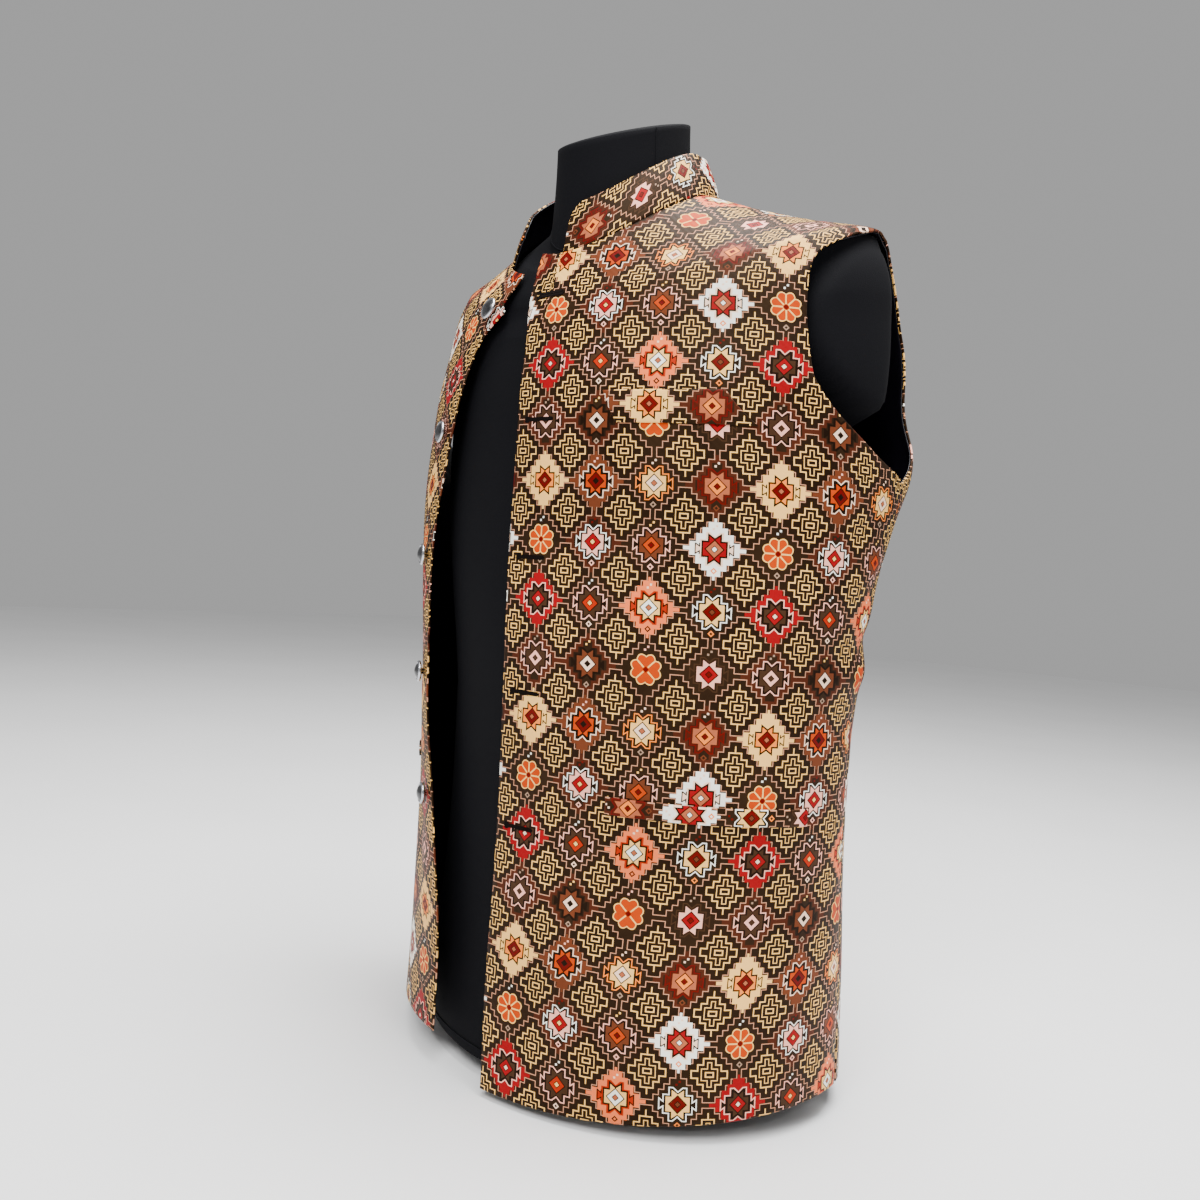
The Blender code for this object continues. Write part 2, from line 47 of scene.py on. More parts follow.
# Heights at the side, the front and the back; half the width; where the front, the widest
# line and the back lie; and where the two front edges lie.
Ring = namedtuple("Ring", "side_z front_z back_z half_width front_y mid_y back_y left_edge right_edge")
JACKET_RINGS = [
    Ring(HEM, 0.006, 0.012, 0.204, -0.147, 0.024, 0.152, 0.005, -0.061),
    Ring(0.100, 0.100, 0.100, 0.204, -0.142, 0.018, 0.142, -0.002, -0.070),
    Ring(0.200, 0.200, 0.200, 0.203, -0.141, 0.011, 0.126, -0.002, -0.097),
    Ring(0.300, 0.300, 0.300, 0.206, -0.144, 0.006, 0.118, -0.002, -0.124),
    Ring(0.400, 0.400, 0.400, 0.215, -0.147, 0.006, 0.125, -0.003, -0.121),
    Ring(UNDERARM, 0.485, 0.485, 0.226, -0.144, 0.018, 0.133, -0.006, -0.105),
    Ring(0.545, 0.537, 0.545, 0.224, -0.141, 0.026, 0.131, -0.009, -0.093),
    Ring(0.605, 0.575, 0.605, 0.217, -0.134, 0.030, 0.124, -0.013, -0.080),
    Ring(SHOULDER_TIP, 0.607, 0.667, 0.194, -0.127, 0.028, 0.103, -0.020, -0.050),
    Ring(0.684, 0.620, 0.684, 0.151, -0.123, 0.009, 0.080, -0.022, -0.042),
    Ring(0.693, 0.634, 0.702, 0.113, -0.119, -0.009, 0.055, -0.023, -0.036),
    Ring(NECKLINE, 0.648, 0.716, 0.076, -0.115, -0.030, 0.028, -0.024, -0.027),
]
SHAPE_COLUMNS = ("half_width", "front_y", "mid_y", "back_y", "front_z", "side_z", "back_z")
RING_FALL = 1.5

SIDE_SEAM = math.radians(99)
RIGHT_SEAM_SWING = math.radians(16)
SWING_LEVEL = 0.300
SHOULDER_SEAM = math.radians(90)
ArmholeEdge = namedtuple("ArmholeEdge", "level front_degrees back_degrees")
ARMHOLE = [
    ArmholeEdge(UNDERARM, 99, 99),
    ArmholeEdge(0.496, 85, 106),
    ArmholeEdge(0.510, 76, 110),
    ArmholeEdge(0.535, 65.5, 115),
    ArmholeEdge(0.560, 60.5, 118),
    ArmholeEdge(0.605, 59, 119),
    ArmholeEdge(0.640, 60, 116),
    ArmholeEdge(0.662, 64, 110),
    ArmholeEdge(0.671, 75, 102),
    ArmholeEdge(SHOULDER_TIP, 90, 90),
]
RIGHT_HEM_LIFT = 0.016
LIFT_TOP = 0.138
VENT_TOP = 0.085
VENT_GAP = 0.006
VENT_CURVE = 0.8
SEAM_RADIUS = 0.15
RIGHT_NECK_DROP = 0.0125
DROP_START = math.radians(225)
DROP_END = math.radians(325)
DROP_FOOT = 0.640

COLLAR_END_LEFT = 0.002
COLLAR_END_RIGHT = -0.048
COLLAR_CREST = Ring(0.7395, 0.690, 0.751, 0.061, -0.105, -0.032, 0.019, 0, 0)
COLLAR_END_RADIUS = 0.015
COLLAR_END_BEND = math.radians(10)
COLLAR_END_CROWDING = 1.5
COLLAR_END_COLUMNS = 16
COLLAR_COLUMNS = 128
COLLAR_ROWS = 14
COLLAR_BOW = 0.0012

LINING_HEM = HEM + 0.010
LINING_INSET = (0.013, 0.005)
BACK_LINING_INSET = (0.005, 0.005)

BUTTON_HEIGHTS = [0.611, 0.510, 0.409, 0.308, 0.207]
BUTTON_FROM_EDGE = 0.018
BUTTONHOLE_HEIGHTS = [0.614, 0.513, 0.411, 0.310, 0.208]
BUTTONHOLE_FROM_EDGE = 0.009
BUTTONHOLE_LENGTH = 0.026
BUTTONHOLE_HALF_SLIT = 0.0006
BUTTONHOLE_EYE = 0.0018
BUTTONHOLE_NECK = 2.4 * BUTTONHOLE_EYE
BUTTONHOLE_EYE_TURN = math.radians(155)
BUTTONHOLE_EYE_POINTS = 20
BUTTONHOLE_POINTS = 120
BUTTONHOLE_REACH = np.linspace(-0.002, 0.030, 9)
STITCH_LIFT = 0.0003

Welt = namedtuple("Welt", "name panel from_edge level width height")
CHEST_WELT = Welt("chest_welt", "left_front", 0.090, 0.513, 0.102, 0.028)
LEFT_POCKET_WELT = Welt("left_pocket_welt", "left_front", 0.095, 0.230, 0.152, 0.013)
RIGHT_POCKET_WELT = Welt("right_pocket_welt", "right_front", 0.058, 0.230, 0.152, 0.013)
WELT_HEIGHT_ABOVE_CLOTH = 0.0018
WELT_CROWN = 0.0005
WELT_CROWN_SPAN = (0.12, 0.88)
WELT_CLEARANCE = 0.0001
WELT_STEP = 0.002
WELT_FEWEST_ROWS = 6

Ease = namedtuple("Ease", "level front side back")
TORSO_EASE = [
    Ease(0.022, 0.018, 0.018, 0.026),
    Ease(0.160, 0.018, 0.030, 0.026),
    Ease(0.300, 0.018, 0.038, 0.024),
    Ease(0.400, 0.012, 0.032, 0.020),
    Ease(UNDERARM, 0.009, 0.024, 0.018),
    Ease(0.560, 0.008, 0.014, 0.018),
    Ease(0.630, 0.006, 0.007, 0.012),
    Ease(0.668, 0.007, 0.0050, 0.008),
    Ease(SHOULDER_TIP, 0.006, 0.0030, 0.006),
    Ease(0.683, 0.003, 0.0008, 0.003),
    Ease(0.696, 0.003, 0.0008, 0.003),
]
ARM_ANGLE = math.radians(90)
ARM_LEVEL = 0.603
ARM_HALF_SPAN = math.radians(27)
ARM_HALF_HEIGHT = 0.060
ARM_HOLLOW_LEVELS = (0.600, 0.655, 0.672)
ARM_HOLLOW_DEPTHS = (0.028, 0.006, 0.0)
ARM_RIM = (1.0, 1.35)
ARM_FADE = (1.5, 2.1)
NECK_RADIUS = 0.0535
NECK_MIDDLE = (-0.003, -0.0425)
NECK_LEAN = -0.004
NECK_FOOT_DROP = 0.003
NECK_TOP_FRONT = 0.738
NECK_TOP_BACK = 0.780
NECK_FLARE = 0.004
# The closed top of the neck, as shares of its lip's size and heights above it.
NECK_CAP = [(0.985, 0.0010), (0.95, 0.0018), (0.85, 0.0028), (0.6, 0.0042), (0.3, 0.0052), (0.1, 0.0056)]
NECK_CROWN = 0.0057
FORM_COLUMNS = 120
# Rows of the form's body, as a lowest level, a highest one and a count.
FORM_ROWS = [(HEM, 0.60, 80), (0.605, SHOULDER_TIP, 24), (0.678, 0.696, 12)]
NECK_ROWS = 20
FORM_CREASE = math.radians(50)
FORM_SEAM_LEVELS = (0.030, 0.690)
FORM_SEAM_ROWS = 160
FORM_SEAM_RADIUS = 0.0006
NECK_SEAM_SHARE = 0.10
NECK_SEAM_POINTS = 90
NECK_SIDE_SEAMS = [("form_neck_left_seam", 68), ("form_neck_right_seam", 292)]

BASE_HALF_WIDTH = 0.125
BASE_HALF_DEPTH = 0.090
BASE_TOP = 0.0217
BASE_BULGE = 1.012
BASE_SOFT_FOOT = 0.002
BASE_SOFT_TOP = 0.003
BASE_COLUMNS = 96
BASE_CREASE = math.radians(30)

# Rows and steps of the meshes.
SKIRT_ROWS = 117
CHEST_ROWS = 57
YOKE_ROWS = 33
LEFT_FRONT_COLUMNS = 76
RIGHT_FRONT_COLUMNS = 66
BACK_COLUMNS = 116
RING_STEPS = 49
LEVEL_STEPS = 41
YOKE_STEPS = 25
SHARE_STEPS = 200
EDGE_ROUNDING = 0.4
LINING_FOOT_ROW = 0.004
LINING_RADIUS = 0.2

# The print repeats every four motifs each way. Its first motif lies this far from the front edge.
PITCH_ACROSS = 0.0447
PITCH_UP = 0.0440
PRINT_LEVEL = 0.300
PRINT_START_UP = 0.1250
PRINT_START_ACROSS = [
    (0.030, 0.0248), (0.200, 0.0290), (0.380, 0.0323), (0.467, 0.0318), (0.513, 0.0293), (0.620, 0.0285),
]
YOKE_LEAN = 0.12
YOKE_LEVEL = 0.620
# Heights on the collar of the row of motifs that runs along it, by the distance from its left end.
COLLAR_ROW = [(0.024, 0.014), (0.067, 0.020), (0.109, 0.024), (0.180, 0.026)]
COLLAR_COLUMN = 3.0
COLLAR_START = 0.0196
# The chest welt is cut upside down and the hip welts across, from these places, counted in motifs.
CHEST_WELT_PLACE = (5.91, 3.27)
POCKET_WELT_PLACE = (7.21, 2.885)

# Soft folds. Each lies at an angle and a level, is so long and so broad, is turned from level
# towards upright, and stands out by its height or in by a negative one.
Fold = namedtuple("Fold", "degrees level length breadth turn height")
FOLDS = [
    Fold(119, 0.590, 0.095, 0.034, 90, 0.0070),
    Fold(115, 0.500, 0.062, 0.040, 90, 0.0095),
    Fold(102, 0.365, 0.110, 0.011, 8, -0.0030),
    Fold(98, 0.340, 0.120, 0.012, 4, 0.0032),
    Fold(92, 0.300, 0.090, 0.012, -10, -0.0016),
    Fold(88, 0.415, 0.080, 0.013, 24, 0.0018),
    Fold(82, 0.445, 0.060, 0.009, 38, -0.0016),
    Fold(70, 0.470, 0.055, 0.009, 52, 0.0014),
    Fold(60, 0.520, 0.045, 0.007, 62, -0.0012),
    Fold(20, 0.330, 0.070, 0.014, 6, -0.0012),
    Fold(38, 0.120, 0.110, 0.016, 84, 0.0016),
    Fold(66, 0.100, 0.120, 0.015, 86, -0.0016),
    Fold(12, 0.080, 0.090, 0.014, 80, -0.0012),
    Fold(120, 0.110, 0.120, 0.018, 88, 0.0022),
    Fold(140, 0.130, 0.130, 0.016, 92, -0.0022),
    Fold(164, 0.120, 0.140, 0.018, 88, 0.0020),
    Fold(186, 0.130, 0.150, 0.016, 90, -0.0020),
    Fold(208, 0.110, 0.130, 0.018, 92, 0.0022),
    Fold(232, 0.120, 0.120, 0.016, 88, -0.0018),
    Fold(130, 0.370, 0.100, 0.013, -12, -0.0024),
    Fold(150, 0.345, 0.110, 0.014, -6, 0.0022),
    Fold(210, 0.365, 0.110, 0.013, 8, -0.0024),
    Fold(228, 0.335, 0.100, 0.014, 12, 0.0022),
    Fold(168, 0.600, 0.090, 0.012, 4, 0.0012),
    Fold(196, 0.585, 0.090, 0.012, -4, -0.0012),
    Fold(256, 0.370, 0.100, 0.012, -8, -0.0026),
    Fold(262, 0.340, 0.110, 0.012, -4, 0.0028),
    Fold(272, 0.430, 0.070, 0.012, -30, 0.0016),
    Fold(290, 0.460, 0.060, 0.010, -48, -0.0014),
    Fold(300, 0.130, 0.120, 0.016, 94, 0.0018),
    Fold(322, 0.150, 0.110, 0.014, 96, -0.0016),
]


def smooth_between(knots, values, at):
    """Smooth curve through values at knots that never swings past them."""
    knots = np.asarray(knots, float)
    values = np.asarray(values, float)
    at = np.asarray(at, float)
    gaps = np.diff(knots)
    rises = np.diff(values) / gaps
    before, after = rises[:-1], rises[1:]
    steady = before * after > 0
    weight_before = 2 * gaps[1:] + gaps[:-1]
    weight_after = gaps[1:] + 2 * gaps[:-1]
    total = weight_before / np.where(steady, before, 1) + weight_after / np.where(steady, after, 1)
    middle = np.where(steady, (weight_before + weight_after) / np.where(steady, total, 1), 0)
    slopes = np.concatenate([rises[:1], middle, rises[-1:]])
    i = np.clip(np.searchsorted(knots, at) - 1, 0, len(knots) - 2)
    span = gaps[i]
    s = (at - knots[i]) / span
    start = (2 * s**3 - 3 * s**2 + 1) * values[i] + (s**3 - 2 * s**2 + s) * span * slopes[i]
    end = (3 * s**2 - 2 * s**3) * values[i + 1] + (s**3 - s**2) * span * slopes[i + 1]
    return start + end


def ease_between(value, start, end):
    """0 before start, 1 after end, and a smooth rise between them."""
    share = np.clip((value - start) / (end - start), 0, 1)
    return share * share * (3 - 2 * share)


def ring_value(name, level):
    """One column of the ring table at any level."""
    return smooth_between([r.side_z for r in JACKET_RINGS], [getattr(r, name) for r in JACKET_RINGS], level)


def ring_point(angle, half_width, front_y, mid_y, back_y, front_z, side_z, back_z):
    """Point on a ring: half an ellipse in front, half another behind, and a height between the three."""
    s, c = np.sin(angle), np.cos(angle)
    front = c > 0
    y = mid_y + np.where(front, front_y - mid_y, mid_y - back_y) * c
    z = side_z + np.where(front, front_z - side_z, back_z - side_z) * np.abs(c) ** RING_FALL
    return np.stack(np.broadcast_arrays(half_width * s, y, z), axis=-1)


def body_point(angle, level):
    """Point on the outside of the jacket's body."""
    return ring_point(angle, *(ring_value(name, level) for name in SHAPE_COLUMNS))


def body_normal(angle, level):
    """Unit normal there, pointing out."""
    along = body_point(angle + SMALL_STEP, level) - body_point(angle - SMALL_STEP, level)
    up = body_point(angle, level + SMALL_STEP) - body_point(angle, level - SMALL_STEP)
    normal = np.cross(along, up)
    return normal / np.linalg.norm(normal, axis=-1, keepdims=True)


def fold_height(angle, level):
    """How far the folds lift the cloth at a place, in or out."""
    total = np.zeros(np.broadcast(angle, level).shape)
    for fold in FOLDS:
        turned = np.angle(np.exp(1j * (angle - math.radians(fold.degrees))))
        across = turned * ring_value("half_width", fold.level)
        up = level - fold.level
        turn = math.radians(fold.turn)
        lengthwise = across * math.cos(turn) + up * math.sin(turn)
        broadwise = up * math.cos(turn) - across * math.sin(turn)
        away = (lengthwise * 2 / fold.length) ** 2 + (broadwise / fold.breadth) ** 2
        total += fold.height * np.exp(-away)
    return total


def cloth_point(angle, level, lift=0.0):
    """Point on the folded cloth, lifted off it by a distance."""
    height = fold_height(angle, level) + lift
    return body_point(angle, level) + body_normal(angle, level) * height[..., None]


def front_edge_angle(side, level):
    """Angle of a front's free edge. side is 1 for the wearer's left and -1 for the right."""
    edge = ring_value("left_edge" if side > 0 else "right_edge", level)
    return np.arcsin(edge / ring_value("half_width", level))


def seam_angle(level, panel, swing=0.0):
    """Angle of a panel's outer boundary: side seam, armhole, then shoulder seam."""
    below = SIDE_SEAM + swing * ease_between(-level, -UNDERARM, -SWING_LEVEL)
    degrees = [getattr(edge, panel + "_degrees") for edge in ARMHOLE]
    hole = np.radians(smooth_between([edge.level for edge in ARMHOLE], degrees, level))
    return np.where(level <= UNDERARM, below, np.where(level < SHOULDER_TIP, hole, SHOULDER_SEAM))


def gap_angle(level):
    """Half the gap between front and back at their seam, as an angle. Below the vent's top it widens."""
    opening = np.clip(1 - (level - HEM) / (VENT_TOP - HEM), 0, 1)
    return (SEAM_GAP / 2 + VENT_GAP / 2 * opening**VENT_CURVE) / SEAM_RADIUS


def panel_levels():
    """Levels of a panel's rows, about 4 mm apart on the cloth."""
    skirt = np.linspace(HEM, UNDERARM, SKIRT_ROWS)
    chest = np.linspace(UNDERARM, SHOULDER_TIP, CHEST_ROWS)[1:]
    yoke = np.linspace(SHOULDER_TIP, NECKLINE, YOKE_ROWS)[1:]
    return np.concatenate([skirt, chest, yoke])


def front_angle(side, share, level):
    """Angle at a share of the way from a front's free edge to its outer boundary."""
    start = front_edge_angle(side, level)
    swing = 0.0 if side > 0 else RIGHT_SEAM_SWING
    end = side * (seam_angle(level, "front", swing) - gap_angle(level))
    return start + (end - start) * share


def back_angle(share, level):
    """Angle at a share of the way across the back, from the wearer's left."""
    start = seam_angle(level, "back") + gap_angle(level)
    end = 2 * math.pi - seam_angle(level, "back", RIGHT_SEAM_SWING) - gap_angle(level)
    return start + (end - start) * share


def neck_drop(angle):
    """How far the neckline of the back and the right front slides down the body's surface."""
    return RIGHT_NECK_DROP * ease_between(angle % (2 * math.pi), DROP_START, DROP_END)


def dropped_level(angle, level):
    """Level of a place on the back or the right front, which slide down near the neckline."""
    return level - neck_drop(angle) * np.clip((level - DROP_FOOT) / (NECKLINE - DROP_FOOT), 0, 1)


def lifted_level(level, share, lift):
    """Level of a place on a front whose hem lifts towards its free edge."""
    return level + lift * np.clip((LIFT_TOP - level) / (LIFT_TOP - HEM), 0, 1) * (1 - share)


def length_along(points):
    """Length of each line of points, on the last axis but one."""
    return np.linalg.norm(np.diff(points, axis=-2), axis=-1).sum(axis=-1)


def run_along(line):
    """Distance from the start of a line to each of its points."""
    return np.concatenate([[0], np.cumsum(np.linalg.norm(np.diff(line, axis=0), axis=-1))])


def level_at_height(height):
    """Level of the ring that crosses the front at a height."""
    return np.interp(height, [r.front_z for r in JACKET_RINGS], [r.side_z for r in JACKET_RINGS])


def run_round(angle, level):
    """Distance along a ring from centre front to an angle."""
    steps = np.linspace(0, 1, RING_STEPS)
    return length_along(body_point(angle[..., None] * steps, level[..., None])) * np.sign(angle)


def run_up(angle, level):
    """Distance up the body from the print's own level to another."""
    steps = np.linspace(0, 1, LEVEL_STEPS)
    levels = PRINT_LEVEL + (level[..., None] - PRINT_LEVEL) * steps
    return length_along(body_point(angle[..., None], levels)) * np.sign(level - PRINT_LEVEL)


def place_on_cloth(angle, level):
    """Where a point lies on the flat cloth, round from centre front and up.

    Above the chest the grain runs on straight up over the shoulder, so the point is followed
    down in an upright plane to the chest's own ring.
    """
    angle, level = np.broadcast_arrays(angle, level)
    chest = np.minimum(level, YOKE_LEVEL)
    behind = np.cos(angle) < 0
    point = body_point(angle, level)

    def angle_at(x, at_level):
        found = np.arcsin(np.clip(x / ring_value("half_width", at_level), -1, 1))
        return found, np.pi - found

    front, back = angle_at(point[..., 0], chest)
    drop = point[..., 2] - body_point(np.where(behind, back, front), chest)[..., 2]
    steps = np.linspace(0, 1, YOKE_STEPS)
    levels = chest[..., None] + (level - chest)[..., None] * steps
    lean = np.sign(point[..., 0]) * YOKE_LEAN * drop
    x = point[..., 0, None] + lean[..., None] * (1 - steps)
    front, back = angle_at(x, levels)
    path = np.where(behind[..., None], back, front)
    over = level > YOKE_LEVEL
    foot = np.where(over, path[..., 0], angle)
    climb = np.where(over, length_along(body_point(path, levels)), 0)
    return run_round(foot, chest), run_up(foot, chest) + climb


def front_print(side, angle, level):
    """Place on the print of a front, whose motifs start from its free edge."""
    round_body, up = place_on_cloth(angle, level)
    chest = np.minimum(level, YOKE_LEVEL)
    edge = run_round(front_edge_angle(side, chest), chest)
    table = np.array(PRINT_START_ACROSS)
    start = np.interp(chest, table[:, 0], table[:, 1])
    across = round_body - edge - side * start
    return np.stack(np.broadcast_arrays(across, up - PRINT_START_UP), axis=-1)


def back_print(angle, level):
    """Place on the print of the back, whose motifs start at its middle."""
    round_body, up = place_on_cloth(angle, level)
    middle = run_round(np.full_like(level, math.pi), level)
    return np.stack(np.broadcast_arrays(round_body - middle, up - PRINT_START_UP), axis=-1)


def grid_faces(rows, columns, first=0, flip=False):
    """Faces of a grid of points."""
    index = first + np.arange(rows * columns).reshape(rows, columns)
    faces = np.stack([index[:-1, :-1], index[:-1, 1:], index[1:, 1:], index[1:, :-1]], axis=-1)
    return faces.reshape(-1, 4)[:, ::-1] if flip else faces.reshape(-1, 4)


def rim_of_grid(rows, columns):
    """Indices of the outermost points of a grid, in order round it."""
    index = np.arange(rows * columns).reshape(rows, columns)
    return np.concatenate([index[0], index[1:, -1], index[-1, -2::-1], index[-2:0:-1, 0]])


def outward_at_rim(grid):
    """Unit directions that leave a grid in its own surface, at every point of its rim."""
    away = np.zeros_like(grid)
    for inside, edge in (((1,), (0,)), ((-2,), (-1,))):
        away[edge] += unit(grid[edge] - grid[inside])
        away[:, edge[0]] += unit(grid[:, edge[0]] - grid[:, inside[0]])
    return unit(away)


def unit(vectors):
    """Vectors made one long, where they have a length."""
    length = np.linalg.norm(vectors, axis=-1, keepdims=True)
    return vectors / np.where(length > 0, length, 1)


def ring_stack(rings, bottom, top):
    """Points and faces of a closed shape: rings of points going up, and a point to close each end."""
    count = len(rings[0])
    index = np.arange(len(rings) * count).reshape(len(rings), count)
    after = np.roll(index, -1, axis=1)
    foot = index.size
    faces = np.stack([index[:-1], after[:-1], after[1:], index[1:]], axis=-1).reshape(-1, 4).tolist()
    faces += [(foot, after[0, k], index[0, k]) for k in range(count)]
    faces += [(index[-1, k], after[-1, k], foot + 1) for k in range(count)]
    return np.concatenate([*rings, [bottom], [top]]), faces


def add_object(name, data):
    """A new object in the scene."""
    obj = bpy.data.objects.new(name, data)
    bpy.context.scene.collection.objects.link(obj)
    return obj


def plain_mesh(name, obj):
    """An object as a plain mesh, with what its modifiers or its bevel make of it."""
    mesh = bpy.data.meshes.new_from_object(obj.evaluated_get(bpy.context.evaluated_depsgraph_get()))
    mesh.name = name
    return mesh


def add_mesh(name, points, faces, finishes, places=None, face_finish=None):
    """A smooth-shaded mesh object, with its places on the cloth as a UV map."""
    mesh = bpy.data.meshes.new(name)
    mesh.from_pydata(np.asarray(points, float).tolist(), [], [list(map(int, f)) for f in faces])
    for finish in finishes:
        mesh.materials.append(finish)
    if face_finish is not None:
        mesh.polygons.foreach_set("material_index", np.asarray(face_finish, np.int32))
    if places is not None:
        corners = np.empty(len(mesh.loops), np.int32)
        mesh.loops.foreach_get("vertex_index", corners)
        layer = mesh.uv_layers.new(name="cloth")
        layer.data.foreach_set("uv", np.asarray(places, float)[corners].ravel())
    mesh.shade_smooth()
    mesh.update()
    return add_object(name, mesh)


def add_wall(name, outer, inner, places, finish):
    """A closed wall between two grids of points, the outer one facing out, with a rounded edge."""
    rows, columns, _ = outer.shape
    count = rows * columns
    rim = rim_of_grid(rows, columns)
    middle = ((outer + inner) / 2).reshape(-1, 3)[rim]
    thickness = np.linalg.norm(outer - inner, axis=-1, keepdims=True)
    drawn_in = outward_at_rim(outer) * thickness * EDGE_ROUNDING
    points = np.concatenate([(outer - drawn_in).reshape(-1, 3), (inner - drawn_in).reshape(-1, 3), middle])
    after = np.roll(rim, -1)
    here = 2 * count + np.arange(len(rim))
    ahead = np.roll(here, -1)
    faces = np.concatenate([
        grid_faces(rows, columns),
        grid_faces(rows, columns, first=count, flip=True),
        np.stack([after, rim, here, ahead], axis=-1),
        np.stack([ahead, here, rim + count, after + count], axis=-1),
    ])
    flat = places.reshape(-1, 2)
    return add_mesh(name, points, faces, [finish], np.concatenate([flat, flat, flat[rim]]))


def area_of_grid(grid):
    """Area of the surface through a grid of points."""
    one = np.cross(grid[1:, 1:] - grid[:-1, :-1], grid[1:, :-1] - grid[:-1, 1:])
    return float(np.linalg.norm(one, axis=-1).sum() / 2)


def left_front_place(share, level):
    """Angle and level of a place on the left front."""
    return np.broadcast_arrays(front_angle(1, share, level), level)


def right_front_place(share, level):
    """Angle and level of a place on the right front, which hangs askew."""
    angle = front_angle(-1, share, level)
    return angle, lifted_level(dropped_level(angle, level), share, RIGHT_HEM_LIFT)


def back_place(share, level):
    """Angle and level of a place on the back."""
    angle = back_angle(share, level)
    return angle, dropped_level(angle, level)


def add_panel(node, place_at, shares, print_at, lining_inset=LINING_INSET):
    """A panel of printed cloth with the lining behind it. Each replaces its own solid."""
    levels = panel_levels()
    angles, at = place_at(shares[None, :], levels[:, None])
    outer = cloth_point(angles, at)
    inner = cloth_point(angles, at, lift=-CLOTH)
    cloth = add_wall(node + "_cloth", outer, inner, print_at(angles, at), MATERIALS["printed_cloth"])
    finish_piece(cloth, node)
    hang(cloth, area_of_grid(outer))

    start, end = lining_inset
    inside = start + shares[::2] * (1 - start - end)
    rows = np.concatenate([[LINING_HEM], levels[levels > LINING_HEM + LINING_FOOT_ROW][::2], [NECKLINE]])
    angles, at = place_at(inside[None, :], np.unique(rows)[:, None])
    near = cloth_point(angles, at, lift=-CLOTH - SEAM_GAP)
    far = cloth_point(angles, at, lift=-WALL)
    places = np.stack([angles * LINING_RADIUS, at], axis=-1)
    lining = add_wall(node + "_satin", near, far, places, MATERIALS["lining"])
    finish_piece(lining, node + "_lining")
    hang(lining, area_of_grid(near))


def finish_piece(piece, node):
    """Rides a piece on the jacket, in place of its solid."""
    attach(piece, "root")
    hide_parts(node)


def hang(piece, area, tall=None):
    """Works out a cut piece's height from its corners when none is given, and keeps nothing of it. Its area
    is not used.
    """
    if tall is None:
        corners = np.array([piece.matrix_world @ Vector(c) for c in piece.bound_box])
        tall = float(np.ptp(corners[:, 2]))


def collar_angles():
    """Angles of the collar's columns, closer together round its two ends."""
    half = JACKET_RINGS[-1].half_width
    start = math.asin(COLLAR_END_LEFT / half)
    end = 2 * math.pi + math.asin(COLLAR_END_RIGHT / half)
    crowded = COLLAR_END_BEND * np.linspace(0, 1, COLLAR_END_COLUMNS)[:-1] ** COLLAR_END_CROWDING
    middle = np.linspace(start + COLLAR_END_BEND, end - COLLAR_END_BEND, COLLAR_COLUMNS)
    return np.concatenate([start + crowded, middle, end - crowded[::-1]])


def collar_lines(angles):
    """The collar's seam on the neckline, its crest, and the height between them."""
    level = NECKLINE - neck_drop(angles)
    seam = body_point(angles, level)
    moved = seam - body_point(angles, np.full_like(angles, NECKLINE))
    seam = seam + unit(seam - body_point(angles, level - SMALL_STEP)) * SEAM_GAP
    crest = ring_point(angles, *(getattr(COLLAR_CREST, name) for name in SHAPE_COLUMNS)) + moved
    return seam, crest, np.linalg.norm(crest - seam, axis=-1)


def add_collar():
    """Standing band of the printed cloth with rounded front ends, and the lining inside it."""
    angles = collar_angles()
    seam, crest, tall = collar_lines(angles)
    run = run_along(seam)
    short = np.clip(COLLAR_END_RADIUS - np.minimum(run, run[-1] - run), 0, None)
    cut = COLLAR_END_RADIUS - np.sqrt(COLLAR_END_RADIUS**2 - short**2)
    share = (1 - cut / tall)[None, :] * np.linspace(0, 1, COLLAR_ROWS)[:, None]
    out = unit(np.cross(np.gradient(seam, axis=0), crest - seam))
    bow = COLLAR_BOW * np.sin(math.pi * share)[..., None]
    band = seam[None] + (crest - seam)[None] * share[..., None] + out[None] * bow
    out = np.repeat(out[None], COLLAR_ROWS, axis=0)
    out[0] = body_normal(angles, NECKLINE - neck_drop(angles))

    motif_heights = np.interp(run, *np.array(COLLAR_ROW).T)
    across = COLLAR_COLUMN * PITCH_ACROSS + motif_heights - share * tall
    places = np.stack(np.broadcast_arrays(across, run + COLLAR_START), axis=-1)
    near = CLOTH + SEAM_GAP
    layers = [
        ("collar_cloth", "collar", "printed_cloth", 0.0, CLOTH),
        ("collar_satin", "collar_lining", "lining", near, near + LINING),
    ]
    for name, node, finish, start, end in layers:
        piece = add_wall(name, band - out * start, band - out * end, places, MATERIALS[finish])
        finish_piece(piece, node)
        hang(piece, area_of_grid(band), tall=float(tall.max()))


def share_at(side, from_edge, level):
    """Share of the way across a front at a distance from its free edge."""
    shares = np.linspace(0, 1, SHARE_STEPS)
    levels = np.full_like(shares, level)
    line = body_point(front_angle(side, shares, levels), levels)
    return float(np.interp(from_edge, run_along(line), shares))


